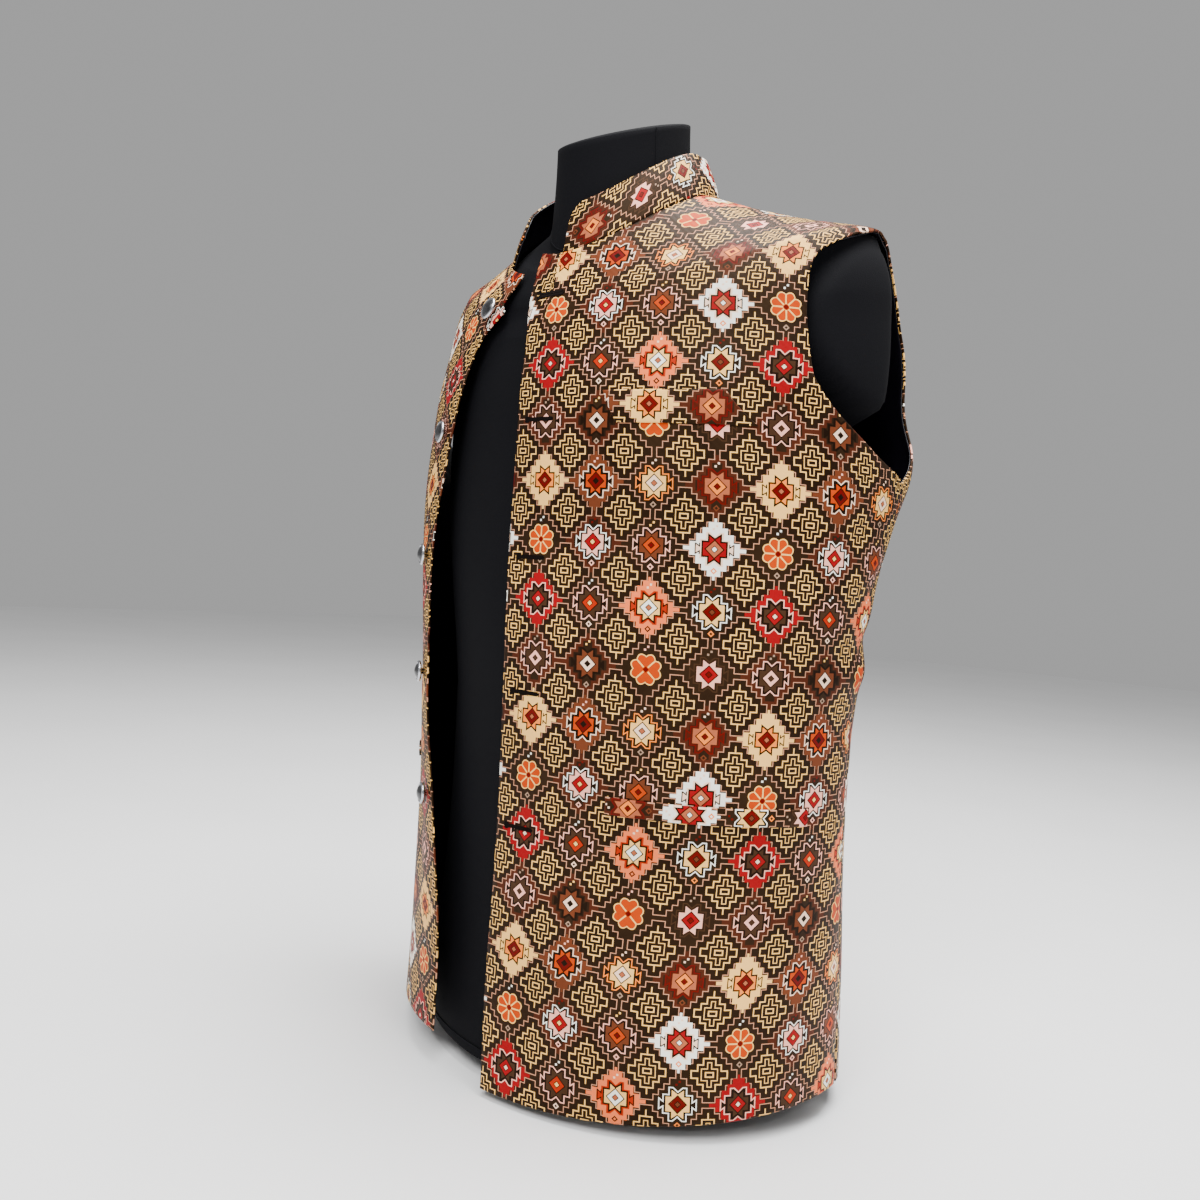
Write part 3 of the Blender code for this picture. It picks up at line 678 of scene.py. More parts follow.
def add_welt(welt, print_at):
    """Strip of cloth sewn over a pocket's mouth."""
    side = 1 if welt.panel == "left_front" else -1
    near = share_at(side, welt.from_edge, welt.level)
    far = share_at(side, welt.from_edge + welt.width, welt.level)
    rows = max(WELT_FEWEST_ROWS, int(welt.height / WELT_STEP))
    shares = np.linspace(near, far, int(welt.width / WELT_STEP))[::side]
    levels = np.linspace(welt.level, welt.level + welt.height, rows)
    angles = front_angle(side, shares[None, :], levels[:, None])
    at = np.broadcast_to(levels[:, None], angles.shape)
    crown = np.sin(math.pi * np.linspace(*WELT_CROWN_SPAN, rows))[:, None] * WELT_CROWN
    outer = cloth_point(angles, at, lift=WELT_HEIGHT_ABOVE_CLOTH - WELT_CROWN + crown)
    inner = cloth_point(angles, at, lift=WELT_CLEARANCE)
    places = print_at(side, angles, at)
    piece = add_wall(welt.name + "_cloth", outer, inner, places, MATERIALS["printed_cloth"])
    finish_piece(piece, welt.name)
    hang(piece, area_of_grid(outer))


def chest_welt_print(side, angles, levels):
    """The chest welt is cut upside down."""
    from_across, from_up = CHEST_WELT_PLACE
    return np.array([from_across * PITCH_ACROSS, from_up * PITCH_UP]) - front_print(side, angles, levels)


def pocket_welt_print(side, angles, levels):
    """The hip welts are cut across the cloth."""
    across, up = np.moveaxis(front_print(side, angles, levels), -1, 0)
    from_across, from_up = POCKET_WELT_PLACE
    return np.stack([up + from_across * PITCH_ACROSS, from_up * PITCH_UP - across], axis=-1)


# Radius and height of a button's turned profile: metal up to the rim's inner lip, then the dome.
BUTTON_METAL = [
    (0.0000, 0.0000), (0.0026, 0.0000), (0.0026, 0.0024), (0.0080, 0.0026), (0.0089, 0.0031),
    (0.0092, 0.0039), (0.0091, 0.0047), (0.0086, 0.0054), (0.0080, 0.0057), (0.0075, 0.0055),
    (0.0072, 0.0050),
]
BUTTON_DOME = [
    (0.0071, 0.0051), (0.0066, 0.0056), (0.0057, 0.0063), (0.0046, 0.0069), (0.0034, 0.0074),
    (0.0022, 0.0078), (0.0010, 0.0080), (0.0000, 0.0081),
]
BUTTON_COLUMNS = 40


def add_button(number, height):
    """Metal-rimmed button with a black dome, square to the cloth."""
    level = level_at_height(height)
    share = np.array(share_at(-1, BUTTON_FROM_EDGE, level))
    angle, level = right_front_place(share, np.array(level))
    turn = Vector(body_normal(angle, level)).to_track_quat("Z", "X").to_matrix()
    place = cloth_point(angle, level, lift=SEAM_GAP)

    profile = BUTTON_METAL + BUTTON_DOME
    turns = np.linspace(0, 2 * math.pi, BUTTON_COLUMNS, endpoint=False)
    circle = np.stack([np.cos(turns), np.sin(turns), np.zeros_like(turns)], axis=-1)
    rings = [circle * radius + [0, 0, z] for radius, z in profile[1:-1]]
    points, faces = ring_stack(rings, (0, 0, profile[0][1]), (0, 0, profile[-1][1]))
    metal_sides = (len(BUTTON_METAL) - 2) * BUTTON_COLUMNS
    dome_sides = (len(BUTTON_DOME) - 1) * BUTTON_COLUMNS
    finishes = [0] * metal_sides + [1] * dome_sides + [0] * BUTTON_COLUMNS + [1] * BUTTON_COLUMNS
    placed = points @ np.array(turn).T + place
    finish = [MATERIALS["button_metal"], MATERIALS["button_dome"]]
    button = add_mesh(f"domed_button_{number}", placed, faces, finish, face_finish=finishes)
    finish_piece(button, f"button_{number}")


def add_node(tree, kind, settings=None, sockets=None):
    """Any node: its kind, its settings, and the values or links of its sockets."""
    node = tree.nodes.new(kind)
    for key, value in (settings or {}).items():
        if key == "stops":
            set_stops(node.color_ramp, value)
        else:
            setattr(node, key, value)
    for key, value in (sockets or {}).items():
        if isinstance(value, Value):
            value = value.socket
        if isinstance(value, bpy.types.NodeSocket):
            tree.links.new(value, node.inputs[key])
        else:
            node.inputs[key].default_value = value
    return node


def set_stops(ramp, stops):
    """Colours of a ramp, from (place, colour with its strength)."""
    ramp.interpolation = "CONSTANT"
    while len(ramp.elements) < len(stops):
        ramp.elements.new(1.0)
    for element, (place, colour) in zip(ramp.elements, stops):
        element.position = place
        element.color = colour


def stitch_tree():
    """Tree of nodes that sews a stitch at every step along a line.

    Each point of the line has the direction of its stitch and the cloth's own direction out.
    """
    tree = bpy.data.node_groups.new("stitches_along_a_line", "GeometryNodeTree")
    face = tree.interface
    face.new_socket("Line", in_out="INPUT", socket_type="NodeSocketGeometry")
    for name in ("Step", "Length", "Thickness"):
        face.new_socket(name, in_out="INPUT", socket_type="NodeSocketFloat")
    face.new_socket("Thread", in_out="INPUT", socket_type="NodeSocketMaterial")
    face.new_socket("Stitches", in_out="OUTPUT", socket_type="NodeSocketGeometry")

    def add(kind, settings=None, sockets=None):
        return add_node(tree, kind, settings, sockets)

    entry = add("NodeGroupInput").outputs
    curve = add("GeometryNodeMeshToCurve", None, {"Mesh": entry["Line"]}).outputs["Curve"]
    steps = add("GeometryNodeResampleCurve", {"mode": "LENGTH"}, {"Curve": curve, "Length": entry["Step"]})
    half = add("ShaderNodeMath", {"operation": "MULTIPLY"}, {0: entry["Thickness"], 1: 0.5}).outputs[0]
    bar = add("GeometryNodeMeshCylinder", None, {
        "Vertices": 6, "Side Segments": 1, "Radius": half, "Depth": entry["Length"],
    }).outputs["Mesh"]
    lying = add("GeometryNodeTransform", None, {"Geometry": bar, "Rotation": (0.0, math.pi / 2, 0.0)})
    vector = {"data_type": "FLOAT_VECTOR"}
    out = add("GeometryNodeInputNamedAttribute", vector, {"Name": "out"}).outputs[0]
    along = add("GeometryNodeInputNamedAttribute", vector, {"Name": "stitch"}).outputs[0]
    upright = add("FunctionNodeAlignRotationToVector", {"axis": "Z"}, {"Vector": out}).outputs[0]
    turned = add("FunctionNodeAlignRotationToVector", {"axis": "X", "pivot_axis": "Z"}, {
        "Rotation": upright, "Vector": along,
    }).outputs[0]
    sewn = add("GeometryNodeInstanceOnPoints", None, {
        "Points": steps.outputs["Curve"], "Instance": lying.outputs["Geometry"], "Rotation": turned,
    }).outputs["Instances"]
    real = add("GeometryNodeRealizeInstances", None, {"Geometry": sewn}).outputs["Geometry"]
    done = add("GeometryNodeSetMaterial", None, {"Geometry": real, "Material": entry["Thread"]})
    add("NodeGroupOutput", None, {"Stitches": done.outputs["Geometry"]})
    return tree


def sew(name, lines, step, length, thickness, thread):
    """Sews stitches along lines of (points, stitch directions, outward directions)."""
    points, edges, stitch, out = [], [], [], []
    for line, directions, normals in lines:
        first = len(points)
        points += [tuple(p) for p in line]
        edges += [(first + k, first + k + 1) for k in range(len(line) - 1)]
        stitch.append(directions)
        out.append(normals)
    mesh = bpy.data.meshes.new(name + "_line")
    mesh.from_pydata(points, edges, [])
    for key, values in (("stitch", np.concatenate(stitch)), ("out", np.concatenate(out))):
        layer = mesh.attributes.new(key, "FLOAT_VECTOR", "POINT")
        layer.data.foreach_set("vector", values.ravel())
    obj = add_object(name, mesh)
    modifier = obj.modifiers.new("stitches", "NODES")
    modifier.node_group = STITCHES
    inputs = {s.name: s.identifier for s in STITCHES.interface.items_tree if s.in_out == "INPUT"}
    for key, value in {"Step": step, "Length": length, "Thickness": thickness, "Thread": thread}.items():
        modifier[inputs[key]] = value
    made = plain_mesh(name, obj)
    obj.modifiers.clear()
    obj.data = made
    bpy.data.meshes.remove(mesh)
    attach(obj, "root")


def buttonhole_line(height):
    """Outline of a keyhole buttonhole on the left front, with its eye towards the edge."""
    level = float(level_at_height(height))
    slit = BUTTONHOLE_HALF_SLIT
    eye = BUTTONHOLE_EYE
    turns = np.linspace(BUTTONHOLE_EYE_TURN, -BUTTONHOLE_EYE_TURN, BUTTONHOLE_EYE_POINTS)
    flat = [(BUTTONHOLE_LENGTH, slit), (BUTTONHOLE_NECK, slit)]
    flat += [(eye + eye * math.cos(a), eye * math.sin(a)) for a in turns]
    flat += [(BUTTONHOLE_NECK, -slit), (BUTTONHOLE_LENGTH, -slit), (BUTTONHOLE_LENGTH, slit)]
    flat = np.array(flat)
    run = run_along(flat)
    fine = np.linspace(0, run[-1], BUTTONHOLE_POINTS)
    along, rise = (np.interp(fine, run, flat[:, k]) for k in (0, 1))
    shares = np.array([share_at(1, BUTTONHOLE_FROM_EDGE + reach, level) for reach in BUTTONHOLE_REACH])
    levels = level + rise
    angles = front_angle(1, np.interp(along, BUTTONHOLE_REACH, shares), levels)
    points = cloth_point(angles, levels, lift=STITCH_LIFT)
    normals = body_normal(angles, levels)
    return points, unit(np.cross(normals, unit(np.gradient(points, axis=0)))), normals


def add_buttonholes():
    """Five worked buttonholes down the left front."""
    lines = [buttonhole_line(height) for height in BUTTONHOLE_HEIGHTS]
    sew("buttonholes", lines, step=0.0004, length=0.0019, thickness=0.00060, thread=MATERIALS["thread"])


def arm_hollow(angle, level):
    """Extra room round the oval ends of the arms, gone again well away from them."""
    from_front = np.abs(np.arctan2(np.sin(angle), np.cos(angle)))
    across = (from_front - ARM_ANGLE) / ARM_HALF_SPAN
    distance = np.hypot(across, (level - ARM_LEVEL) / ARM_HALF_HEIGHT)
    depth = np.interp(level, ARM_HOLLOW_LEVELS, ARM_HOLLOW_DEPTHS)
    return depth * (ease_between(distance, *ARM_RIM) - ease_between(distance, *ARM_FADE))


def torso_ease(angle, level):
    """Room between the dress form and the inside of the lining."""
    knots, *eases = zip(*TORSO_EASE)
    front, side, back = (np.interp(level, knots, ease) for ease in eases)
    c = np.cos(angle)
    return side + np.where(c > 0, front - side, back - side) * c**2 + arm_hollow(angle, level)


def form_point(angle, level):
    """Point on the dress form's body."""
    inward = WALL + torso_ease(angle, level)
    return body_point(angle, level) - body_normal(angle, level) * inward[..., None]


def neck_point(angle, share):
    """Point on the neck, from its foot at 0 to its sloping top at 1."""
    slope = (1 - np.cos(angle)) / 2
    top = NECK_TOP_FRONT + (NECK_TOP_BACK - NECK_TOP_FRONT) * slope
    foot = body_point(angle, np.full_like(angle, NECKLINE))[..., 2] - NECK_FOOT_DROP
    radius = NECK_RADIUS + NECK_FLARE * (1 - share) ** 2
    x = NECK_MIDDLE[0] + radius * np.sin(angle)
    y = NECK_MIDDLE[1] + NECK_LEAN * share - radius * np.cos(angle)
    return np.stack([x, y, foot + (top - foot) * share], axis=-1)


def add_form():
    """Limbless dress form: body, shoulders and a neck cut on the slope, under black jersey."""
    angles = np.linspace(0, 2 * math.pi, FORM_COLUMNS, endpoint=False)
    levels = np.concatenate([np.linspace(*run) for run in FORM_ROWS])
    rings = [form_point(angles, np.full_like(angles, level)) for level in levels]
    rings[0][:, 2] = HEM
    rings += [neck_point(angles, share) for share in np.linspace(0, 1, NECK_ROWS)]
    lip = rings[-1]
    middle = lip.mean(axis=0)
    rings += [middle + (lip - middle) * size + [0, 0, rise] for size, rise in NECK_CAP]
    points, faces = ring_stack(rings, (0, 0, HEM), middle + [0, 0, NECK_CROWN])
    form = add_mesh("form_body", points, faces, [MATERIALS["torso_jersey"]])
    form.data.set_sharp_from_angle(angle=FORM_CREASE)
    finish_piece(form, "torso")


def add_seam_cord(name, line):
    """Thin raised seam along a line on the dress form."""
    curve = bpy.data.curves.new(name, "CURVE")
    curve.dimensions = "3D"
    curve.bevel_depth = FORM_SEAM_RADIUS
    curve.bevel_resolution = 2
    spline = curve.splines.new("POLY")
    spline.points.add(len(line) - 1)
    for point, place in zip(spline.points, line):
        point.co = (*place, 1.0)
    cord = add_object(name, curve)
    mesh = plain_mesh(name, cord)
    bpy.data.objects.remove(cord)
    mesh.materials.clear()
    mesh.materials.append(MATERIALS["torso_jersey"])
    piece = add_object(name, mesh)
    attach(piece, "root")


def add_form_seams():
    """Seams of the jersey: down the middle, round the foot of the neck and up its sides."""
    levels = np.linspace(*FORM_SEAM_LEVELS, FORM_SEAM_ROWS)
    add_seam_cord("form_front_seam", form_point(np.zeros_like(levels), levels))
    add_seam_cord("form_back_seam", form_point(np.full_like(levels, math.pi), levels))
    turns = np.linspace(0, 2 * math.pi, NECK_SEAM_POINTS)
    add_seam_cord("form_neck_seam", neck_point(turns, np.full_like(turns, NECK_SEAM_SHARE)))
    shares = np.linspace(NECK_SEAM_SHARE, 1, NECK_ROWS)
    for name, degrees in NECK_SIDE_SEAMS:
        add_seam_cord(name, neck_point(np.full_like(shares, math.radians(degrees)), shares))


def add_board():
    """Oval board under the dress form, with softened edges."""
    turns = np.linspace(0, 2 * math.pi, BASE_COLUMNS, endpoint=False)
    oval = [BASE_HALF_WIDTH * np.cos(turns), BASE_HALF_DEPTH * np.sin(turns), np.zeros_like(turns)]
    oval = np.stack(oval, axis=-1)
    profile = [
        (1.0, 0.0), (BASE_BULGE, BASE_SOFT_FOOT), (BASE_BULGE, BASE_TOP - BASE_SOFT_TOP), (1.0, BASE_TOP),
    ]
    rings = [oval * grow + [0, 0, z] for grow, z in profile]
    points, faces = ring_stack(rings, (0, 0, 0), (0, 0, BASE_TOP))
    board = add_mesh("form_board", points, faces, [MATERIALS["base_board"]])
    board.data.set_sharp_from_angle(angle=BASE_CREASE)
    finish_piece(board, "torso_base")


def maths(operation):
    """A method that adds one Math node."""

    def method(value, *others):
        return value.math(operation, value, *others)

    return method


class Value:
    """A number that changes over a surface. Plain arithmetic on it adds Math nodes."""

    def __init__(self, finish, socket):
        self.finish = finish
        self.socket = socket

    def math(self, operation, *values):
        """The value that a Math node makes of others."""
        node = self.finish.add("ShaderNodeMath", {"operation": operation}, dict(enumerate(values)))
        return Value(self.finish, node.outputs[0])

    def __rsub__(self, other):
        return self.math("SUBTRACT", other, self)

    __add__ = __radd__ = maths("ADD")
    __sub__ = maths("SUBTRACT")
    __mul__ = __rmul__ = maths("MULTIPLY")
    __truediv__ = maths("DIVIDE")
    __abs__ = maths("ABSOLUTE")
    floor = maths("FLOOR")
    least = maths("MINIMUM")
    most = maths("MAXIMUM")
    below = maths("LESS_THAN")
    above = maths("GREATER_THAN")
    modulo = maths("FLOORED_MODULO")
    sine = maths("SINE")
    cosine = maths("COSINE")
    root = maths("SQRT")
    angle = maths("ARCTAN2")


class Finish:
    """A material's nodes."""

    def __init__(self, name, **constants):
        self.material = bpy.data.materials.new(name)
        self.material.use_nodes = True
        self.tree = self.material.node_tree
        self.shader = self.tree.nodes["Principled BSDF"]
        for key, value in constants.items():
            self.shader.inputs[key.replace("_", " ").title().replace("Ior", "IOR")].default_value = value

    def add(self, kind, settings=None, sockets=None):
        return add_node(self.tree, kind, settings, sockets)

    def mix(self, one, other, share):
        """Colour between two colours."""
        node = self.add("ShaderNodeMix", {"data_type": "RGBA"}, {0: share, 6: one, 7: other})
        return node.outputs[2]

    def noise(self, place, scale, detail=2.0):
        """Soft noise, from 0 to 1."""
        sockets = {"Vector": place, "Scale": scale, "Detail": detail}
        return Value(self, self.add("ShaderNodeTexNoise", None, sockets).outputs[0])

    def object_place(self):
        """Place in the object's own space."""
        return self.add("ShaderNodeTexCoord").outputs["Object"]

    def feed(self, name, value):
        """Links a value to the shader's own socket."""
        self.tree.links.new(value.socket if isinstance(value, Value) else value, self.shader.inputs[name])

    def bump(self, height, distance, strength=1.0):
        """Raises the surface's shading by a height."""
        sockets = {"Strength": strength, "Distance": distance, "Height": height}
        self.feed("Normal", self.add("ShaderNodeBump", None, sockets).outputs[0])


def srgb(red, green, blue, strength=1.0):
    """Colour of the shader from its everyday 0 to 255 form."""
    shares = [channel / 255 for channel in (red, green, blue)]
    return (*(c / 12.92 if c <= 0.04045 else ((c + 0.055) / 1.055) ** 2.4 for c in shares), strength)


GROUND = srgb(33, 20, 11)
# Lighter brown painted over the ground as satin sheen, where the sheen noise is high.
PAINTED_SHEEN_GROUND = srgb(55, 37, 22)
CREAM = srgb(255, 198, 112)
TAN_LINE = srgb(202, 144, 112)
RUSSET = srgb(82, 34, 20)
ORANGE = srgb(190, 60, 0)
PEACH = srgb(246, 120, 66)
PEACH_LINE = srgb(255, 196, 110)
GLOW = srgb(172, 36, 4)
RED = srgb(146, 3, 18)
DARK_RED = srgb(100, 6, 8)
PINK = srgb(255, 182, 160)
PALE_PINK = srgb(255, 216, 186)
WHITE = srgb(255, 252, 240)
DEEP_RED = srgb(74, 20, 10)
LIGHT_BROWN = srgb(172, 92, 60)
BROWN = srgb(104, 52, 30)
DARK = srgb(22, 11, 5)
STAR_BROWN = srgb(62, 40, 26)
PEACH_ORANGE = srgb(250, 132, 48)
GREY_PINK = srgb(160, 130, 108)
NONE = (0.0, 0.0, 0.0, 0.0)

# Colours of each motif of the repeat: stepped field, band beside the lattice, ground inside the
# outline, outline, star, its diamond and that one's middle, then the marks above and below.
# The rows go up the cloth, and each goes round the body.
Motif = namedtuple("Motif", "field band inside outline star diamond middle above below")
MOTIFS = [
    Motif(NONE, NONE, NONE, NONE, NONE, NONE, DARK_RED, WHITE, GREY_PINK),
    Motif(NONE, RUSSET, DARK, WHITE, PINK, RED, CREAM, DARK_RED, PINK),
    Motif(NONE, NONE, DARK, PINK, BROWN, ORANGE, DARK_RED, PEACH_LINE, PINK),
    Motif(WHITE, NONE, PALE_PINK, NONE, RED, LIGHT_BROWN, WHITE, PALE_PINK, PEACH_ORANGE),

    Motif(CREAM, NONE, CREAM, NONE, PEACH_ORANGE, DARK_RED, LIGHT_BROWN, NONE, NONE),
    Motif(BROWN, NONE, DARK, PALE_PINK, ORANGE, DARK_RED, DARK, PINK, NONE),
    Motif(NONE, NONE, DARK, PEACH_ORANGE, CREAM, PALE_PINK, LIGHT_BROWN, PALE_PINK, GREY_PINK),
    Motif(NONE, RUSSET, DEEP_RED, DARK_RED, LIGHT_BROWN, PEACH_ORANGE, DARK_RED, PALE_PINK, BROWN),

    Motif(NONE, RUSSET, DARK, PINK, STAR_BROWN, PINK, STAR_BROWN, GREY_PINK, NONE),
    Motif(NONE, RUSSET, DARK, NONE, BROWN, PALE_PINK, DARK, CREAM, GREY_PINK),
    Motif(NONE, NONE, NONE, NONE, NONE, NONE, NONE, PINK, NONE),
    Motif(NONE, NONE, NONE, STAR_BROWN, PINK, RED, DARK_RED, GREY_PINK, NONE),

    Motif(RED, NONE, DARK, PINK, STAR_BROWN, RED, PALE_PINK, NONE, NONE),
    Motif(NONE, NONE, DARK, PINK, STAR_BROWN, GLOW, CREAM, WHITE, PALE_PINK),
    Motif(PEACH, NONE, GLOW, NONE, CREAM, WHITE, LIGHT_BROWN, PALE_PINK, DARK),
    Motif(NONE, NONE, DARK, WHITE, CREAM, DARK_RED, BROWN, DARK_RED, PEACH_ORANGE),
]
REPEAT = 4.0
FLOWER = 0
CLOVER = 10

# Sizes of the print, as shares of the distance from one motif to the next. The stepped shapes
# are half a width and half a height for each of their boxes.
STEPPED_FIELD = [(0.49, 0.03), (0.39, 0.11), (0.29, 0.24), (0.195, 0.34), (0.105, 0.43), (0.02, 0.49)]
STAR_BODY = [(0.193, 0.120)]
STAR_FRAME = [(0.234, 0.152)]
MAZE_CORE = [(0.064, 0.037)]
MAZE_INNER = [(0.132, 0.095), (0.033, 0.200)]
MAZE_OUTER = [(0.296, 0.060), (0.193, 0.160), (0.101, 0.266)]
MAZE_BORDER = [(0.460, 0.075), (0.365, 0.178), (0.275, 0.272), (0.190, 0.362), (0.105, 0.455)]
MAZE_TICK = (0.266, 0.375)
MAZE_SHADE = 0.45
BAND_BREADTH = 0.055
BAND_STRENGTH = 0.7
CROWN_TOP = 0.270
FISHTAIL_FROM = 0.20
FISHTAIL_TOP = 0.09
DIAMOND = (0.060, 0.134)
DIAMOND_LINES = (0.052, 0.145)
DIAMOND_MIDDLE = 0.043
PETAL_REACH = 0.195
PETAL_LOBE = 0.05
PETAL_RIM = 0.022
FLOWER_GAP = 0.050
CLOVER_GAP = 0.026
BLOOM_MIDDLE = 0.05
MARK_RISE = 0.345
MARK_DOT = 0.025
MARK_DIAMOND = 0.040

# Half the thickness of each of the print's lines.
BORDER_LINE = 0.0070
OUTLINE_LINE = 0.0095
STAR_LINE = 0.013
DIAMOND_INNER_LINE = 0.010
DIAMOND_OUTER_LINE = 0.012
CORE_LINE = 0.0110
INNER_LINE = 0.0075
DOT_LINE = 0.017
MARK_LINE = 0.014

# How often the cloth's noises and twill repeat, and how far they change its tone, its painted sheen and
# shade, and its surface.
SHEEN_SCALE = 22.0
SHEEN_START = 0.35
SHEEN_GAIN = 1.4
THREAD_SCALE = 1400.0
THREAD_TONE = 0.30
BROAD_SCALE = 8.0
BROAD_PAINTED_SHEEN = 0.70
TWILL_TURN = 48.0
TWILL_RISE = 0.5
MAZE_RISE = 0.6

# A shape cut off at a half width, whose top slopes up to both sides from a notch in its middle.
Notched = namedtuple("Notched", "half_width slope notch evenness")
STAR_POINTS = Notched(0.097, 0.71, 0.163, 0.80)
CROWN = Notched(0.140, 0.92, 0.200, 0.74)
FISHTAIL = Notched(0.300, 0.71, -0.128, 0.80)


def notched(across, up, shape):
    """Distance-like measure of a notched shape: below 0 inside it."""
    top = (up - across * shape.slope - shape.notch) * shape.evenness
    return (across - shape.half_width).most(top)


def stepped(across, up, steps):
    """Distance-like measure of a stepped shape: below 0 inside it."""
    shape = None
    for half_width, half_height in steps:
        box = (across - half_width).most(up - half_height)
        shape = box if shape is None else shape.least(box)
    return shape


class PrintedCloth(Finish):
    """Brown satin with a repeat of stars, flowers and stepped fields between cream mazes.

    Each draw method lays one layer of the print over the colour so far.
    """

    def __init__(self):
        super().__init__("printed_cloth", specular_ior_level=0.09, specular_tint=(1.0, 0.66, 0.38, 1.0))
        self.flat = self.add("ShaderNodeUVMap", {"uv_map": "cloth"}).outputs["UV"]
        place = self.add("ShaderNodeSeparateXYZ", None, {0: self.flat})
        self.x = Value(self, place.outputs[0]) / PITCH_ACROSS
        self.y = Value(self, place.outputs[1]) / PITCH_UP
        column = (self.x + 0.5).floor()
        row = (self.y + 0.5).floor()
        self.sideways = self.x - column
        self.rise = self.y - row
        self.across = abs(self.sideways)
        self.up = abs(self.rise)
        self.maze_x = abs(self.x - self.x.floor() - 0.5)
        self.maze_y = abs(self.y - self.y.floor() - 0.5)
        self.diamond = self.across + self.up
        self.number = column.modulo(REPEAT) + row.modulo(REPEAT) * REPEAT
        # Painted sheen: the ground turns lighter where this noise is high. The same noise also sets the
        # roughness.
        self.sheen = self.noise(self.flat, SHEEN_SCALE, 3.0)
        self.colour = self.mix(GROUND, PAINTED_SHEEN_GROUND, (self.sheen - SHEEN_START) * SHEEN_GAIN)

    def part(self, name):
        """Each motif's own colour of a part, and 1 where the motif has that part."""
        count = float(len(MOTIFS))
        stops = [(k / count, getattr(motif, name)) for k, motif in enumerate(MOTIFS)]
        ramp = self.add("ShaderNodeValToRGB", {"stops": stops}, {0: (self.number + 0.5) / count})
        return ramp.outputs[0], Value(self, ramp.outputs[1])

    def paint(self, colour, mask):
        """Lays one colour where a mask is 1."""
        self.colour = self.mix(self.colour, colour, mask)

    def lay(self, name, mask):
        """Lays each motif's own colour of a part where a mask is 1."""
        colour, there = self.part(name)
        self.paint(colour, mask * there)

    def draw_borders(self):
        """Thin stepped border round each maze, with bands outside it, and the motifs' stepped fields."""
        border = stepped(self.maze_x, self.maze_y, MAZE_BORDER)
        self.paint(DARK, border.below(0.0) * MAZE_SHADE)
        self.lay("band", border.above(0.0) * border.below(BAND_BREADTH) * BAND_STRENGTH)
        self.paint(TAN_LINE, abs(border).below(BORDER_LINE))
        self.lay("field", stepped(self.across, self.up, STEPPED_FIELD).below(0.0))

    def draw_stars(self):
        """Stars with two points above and below, in an outline with a fishtail on each side."""
        across, up = self.across, self.up
        star = stepped(across, up, STAR_BODY).least(notched(across, up, STAR_POINTS))
        crown = notched(across, up, CROWN).most(up - CROWN_TOP)
        outline = stepped(across, up, STAR_FRAME).least(crown).least(notched(across, up, FISHTAIL))
        line = abs(outline).below(OUTLINE_LINE)
        _, fielded = self.part("field")
        self.lay("inside", outline.below(0.0))
        self.paint(DARK, line * across.above(FISHTAIL_FROM) * up.below(FISHTAIL_TOP) * fielded)
        self.lay("outline", line)
        self.lay("star", star.below(0.0))
        self.paint(DARK, abs(star).below(STAR_LINE) * fielded)

    def draw_diamonds(self):
        """The diamond in each star, between two thin dark lines, and its middle."""
        inner, outer = DIAMOND_LINES
        inner_line = abs(self.diamond - inner).below(DIAMOND_INNER_LINE)
        outer_line = abs(self.diamond - outer).below(DIAMOND_OUTER_LINE)
        _, starred = self.part("star")
        self.paint(DARK, outer_line.most(inner_line) * starred)
        inner, outer = DIAMOND
        self.lay("diamond", self.diamond.below(outer) * self.diamond.above(inner))
        self.lay("middle", self.diamond.below(DIAMOND_MIDDLE))

    def draw_flowers(self):
        """The flower of eight petals and the clover of four hearts."""
        turn = self.rise.angle(self.sideways)
        radius = (self.across * self.across + self.up * self.up).root()
        lobes = abs((turn * 4.0).sine())
        petals = radius - lobes * PETAL_LOBE - PETAL_REACH
        flower = self.number.below(FLOWER + 0.5)
        clover = self.number.above(CLOVER - 0.5) * self.number.below(CLOVER + 0.5)
        hearts_gap = abs((turn * 2.0).cosine()) * radius
        gap = (lobes * radius).below(FLOWER_GAP) * flower + hearts_gap.below(CLOVER_GAP) * clover
        bloom = flower + clover
        self.paint(PEACH_LINE, petals.below(PETAL_RIM) * bloom)
        self.paint(ORANGE, petals.below(0.0) * bloom)
        self.paint(PEACH_LINE, gap * petals.below(0.0) * radius.above(BLOOM_MIDDLE))
        self.paint(DARK_RED, self.diamond.below(BLOOM_MIDDLE) * bloom)

    def draw_marks(self):
        """Two dots on a slant above each motif, and a small hollow diamond below it."""
        above = self.rise - MARK_RISE
        dots = abs(self.across - MARK_DOT).most(abs(abs(above) - MARK_DOT)).below(DOT_LINE)
        self.lay("above", dots * (self.sideways * above).above(0.0))
        hollow = abs(self.across + abs(self.rise + MARK_RISE) - MARK_DIAMOND)
        self.lay("below", hollow.below(MARK_LINE))

    def draw_mazes(self):
        """Three cream loops, one in another, with a tick above and below them."""
        x, y = self.maze_x, self.maze_y
        lines = [(MAZE_CORE, CORE_LINE), (MAZE_INNER, INNER_LINE), (MAZE_OUTER, CORE_LINE)]
        low, high = MAZE_TICK
        maze = x.below(CORE_LINE) * y.above(low) * y.below(high)
        for loop, line in lines:
            maze = maze.most(abs(stepped(x, y, loop)).below(line))
        self.paint(CREAM, maze)
        return maze

    def weave(self, raised):
        """Fine twill, a tone that changes from thread to thread, and a soft sheen and shade painted into
        the colour from place to place.
        """
        threads = self.noise(self.flat, THREAD_SCALE)
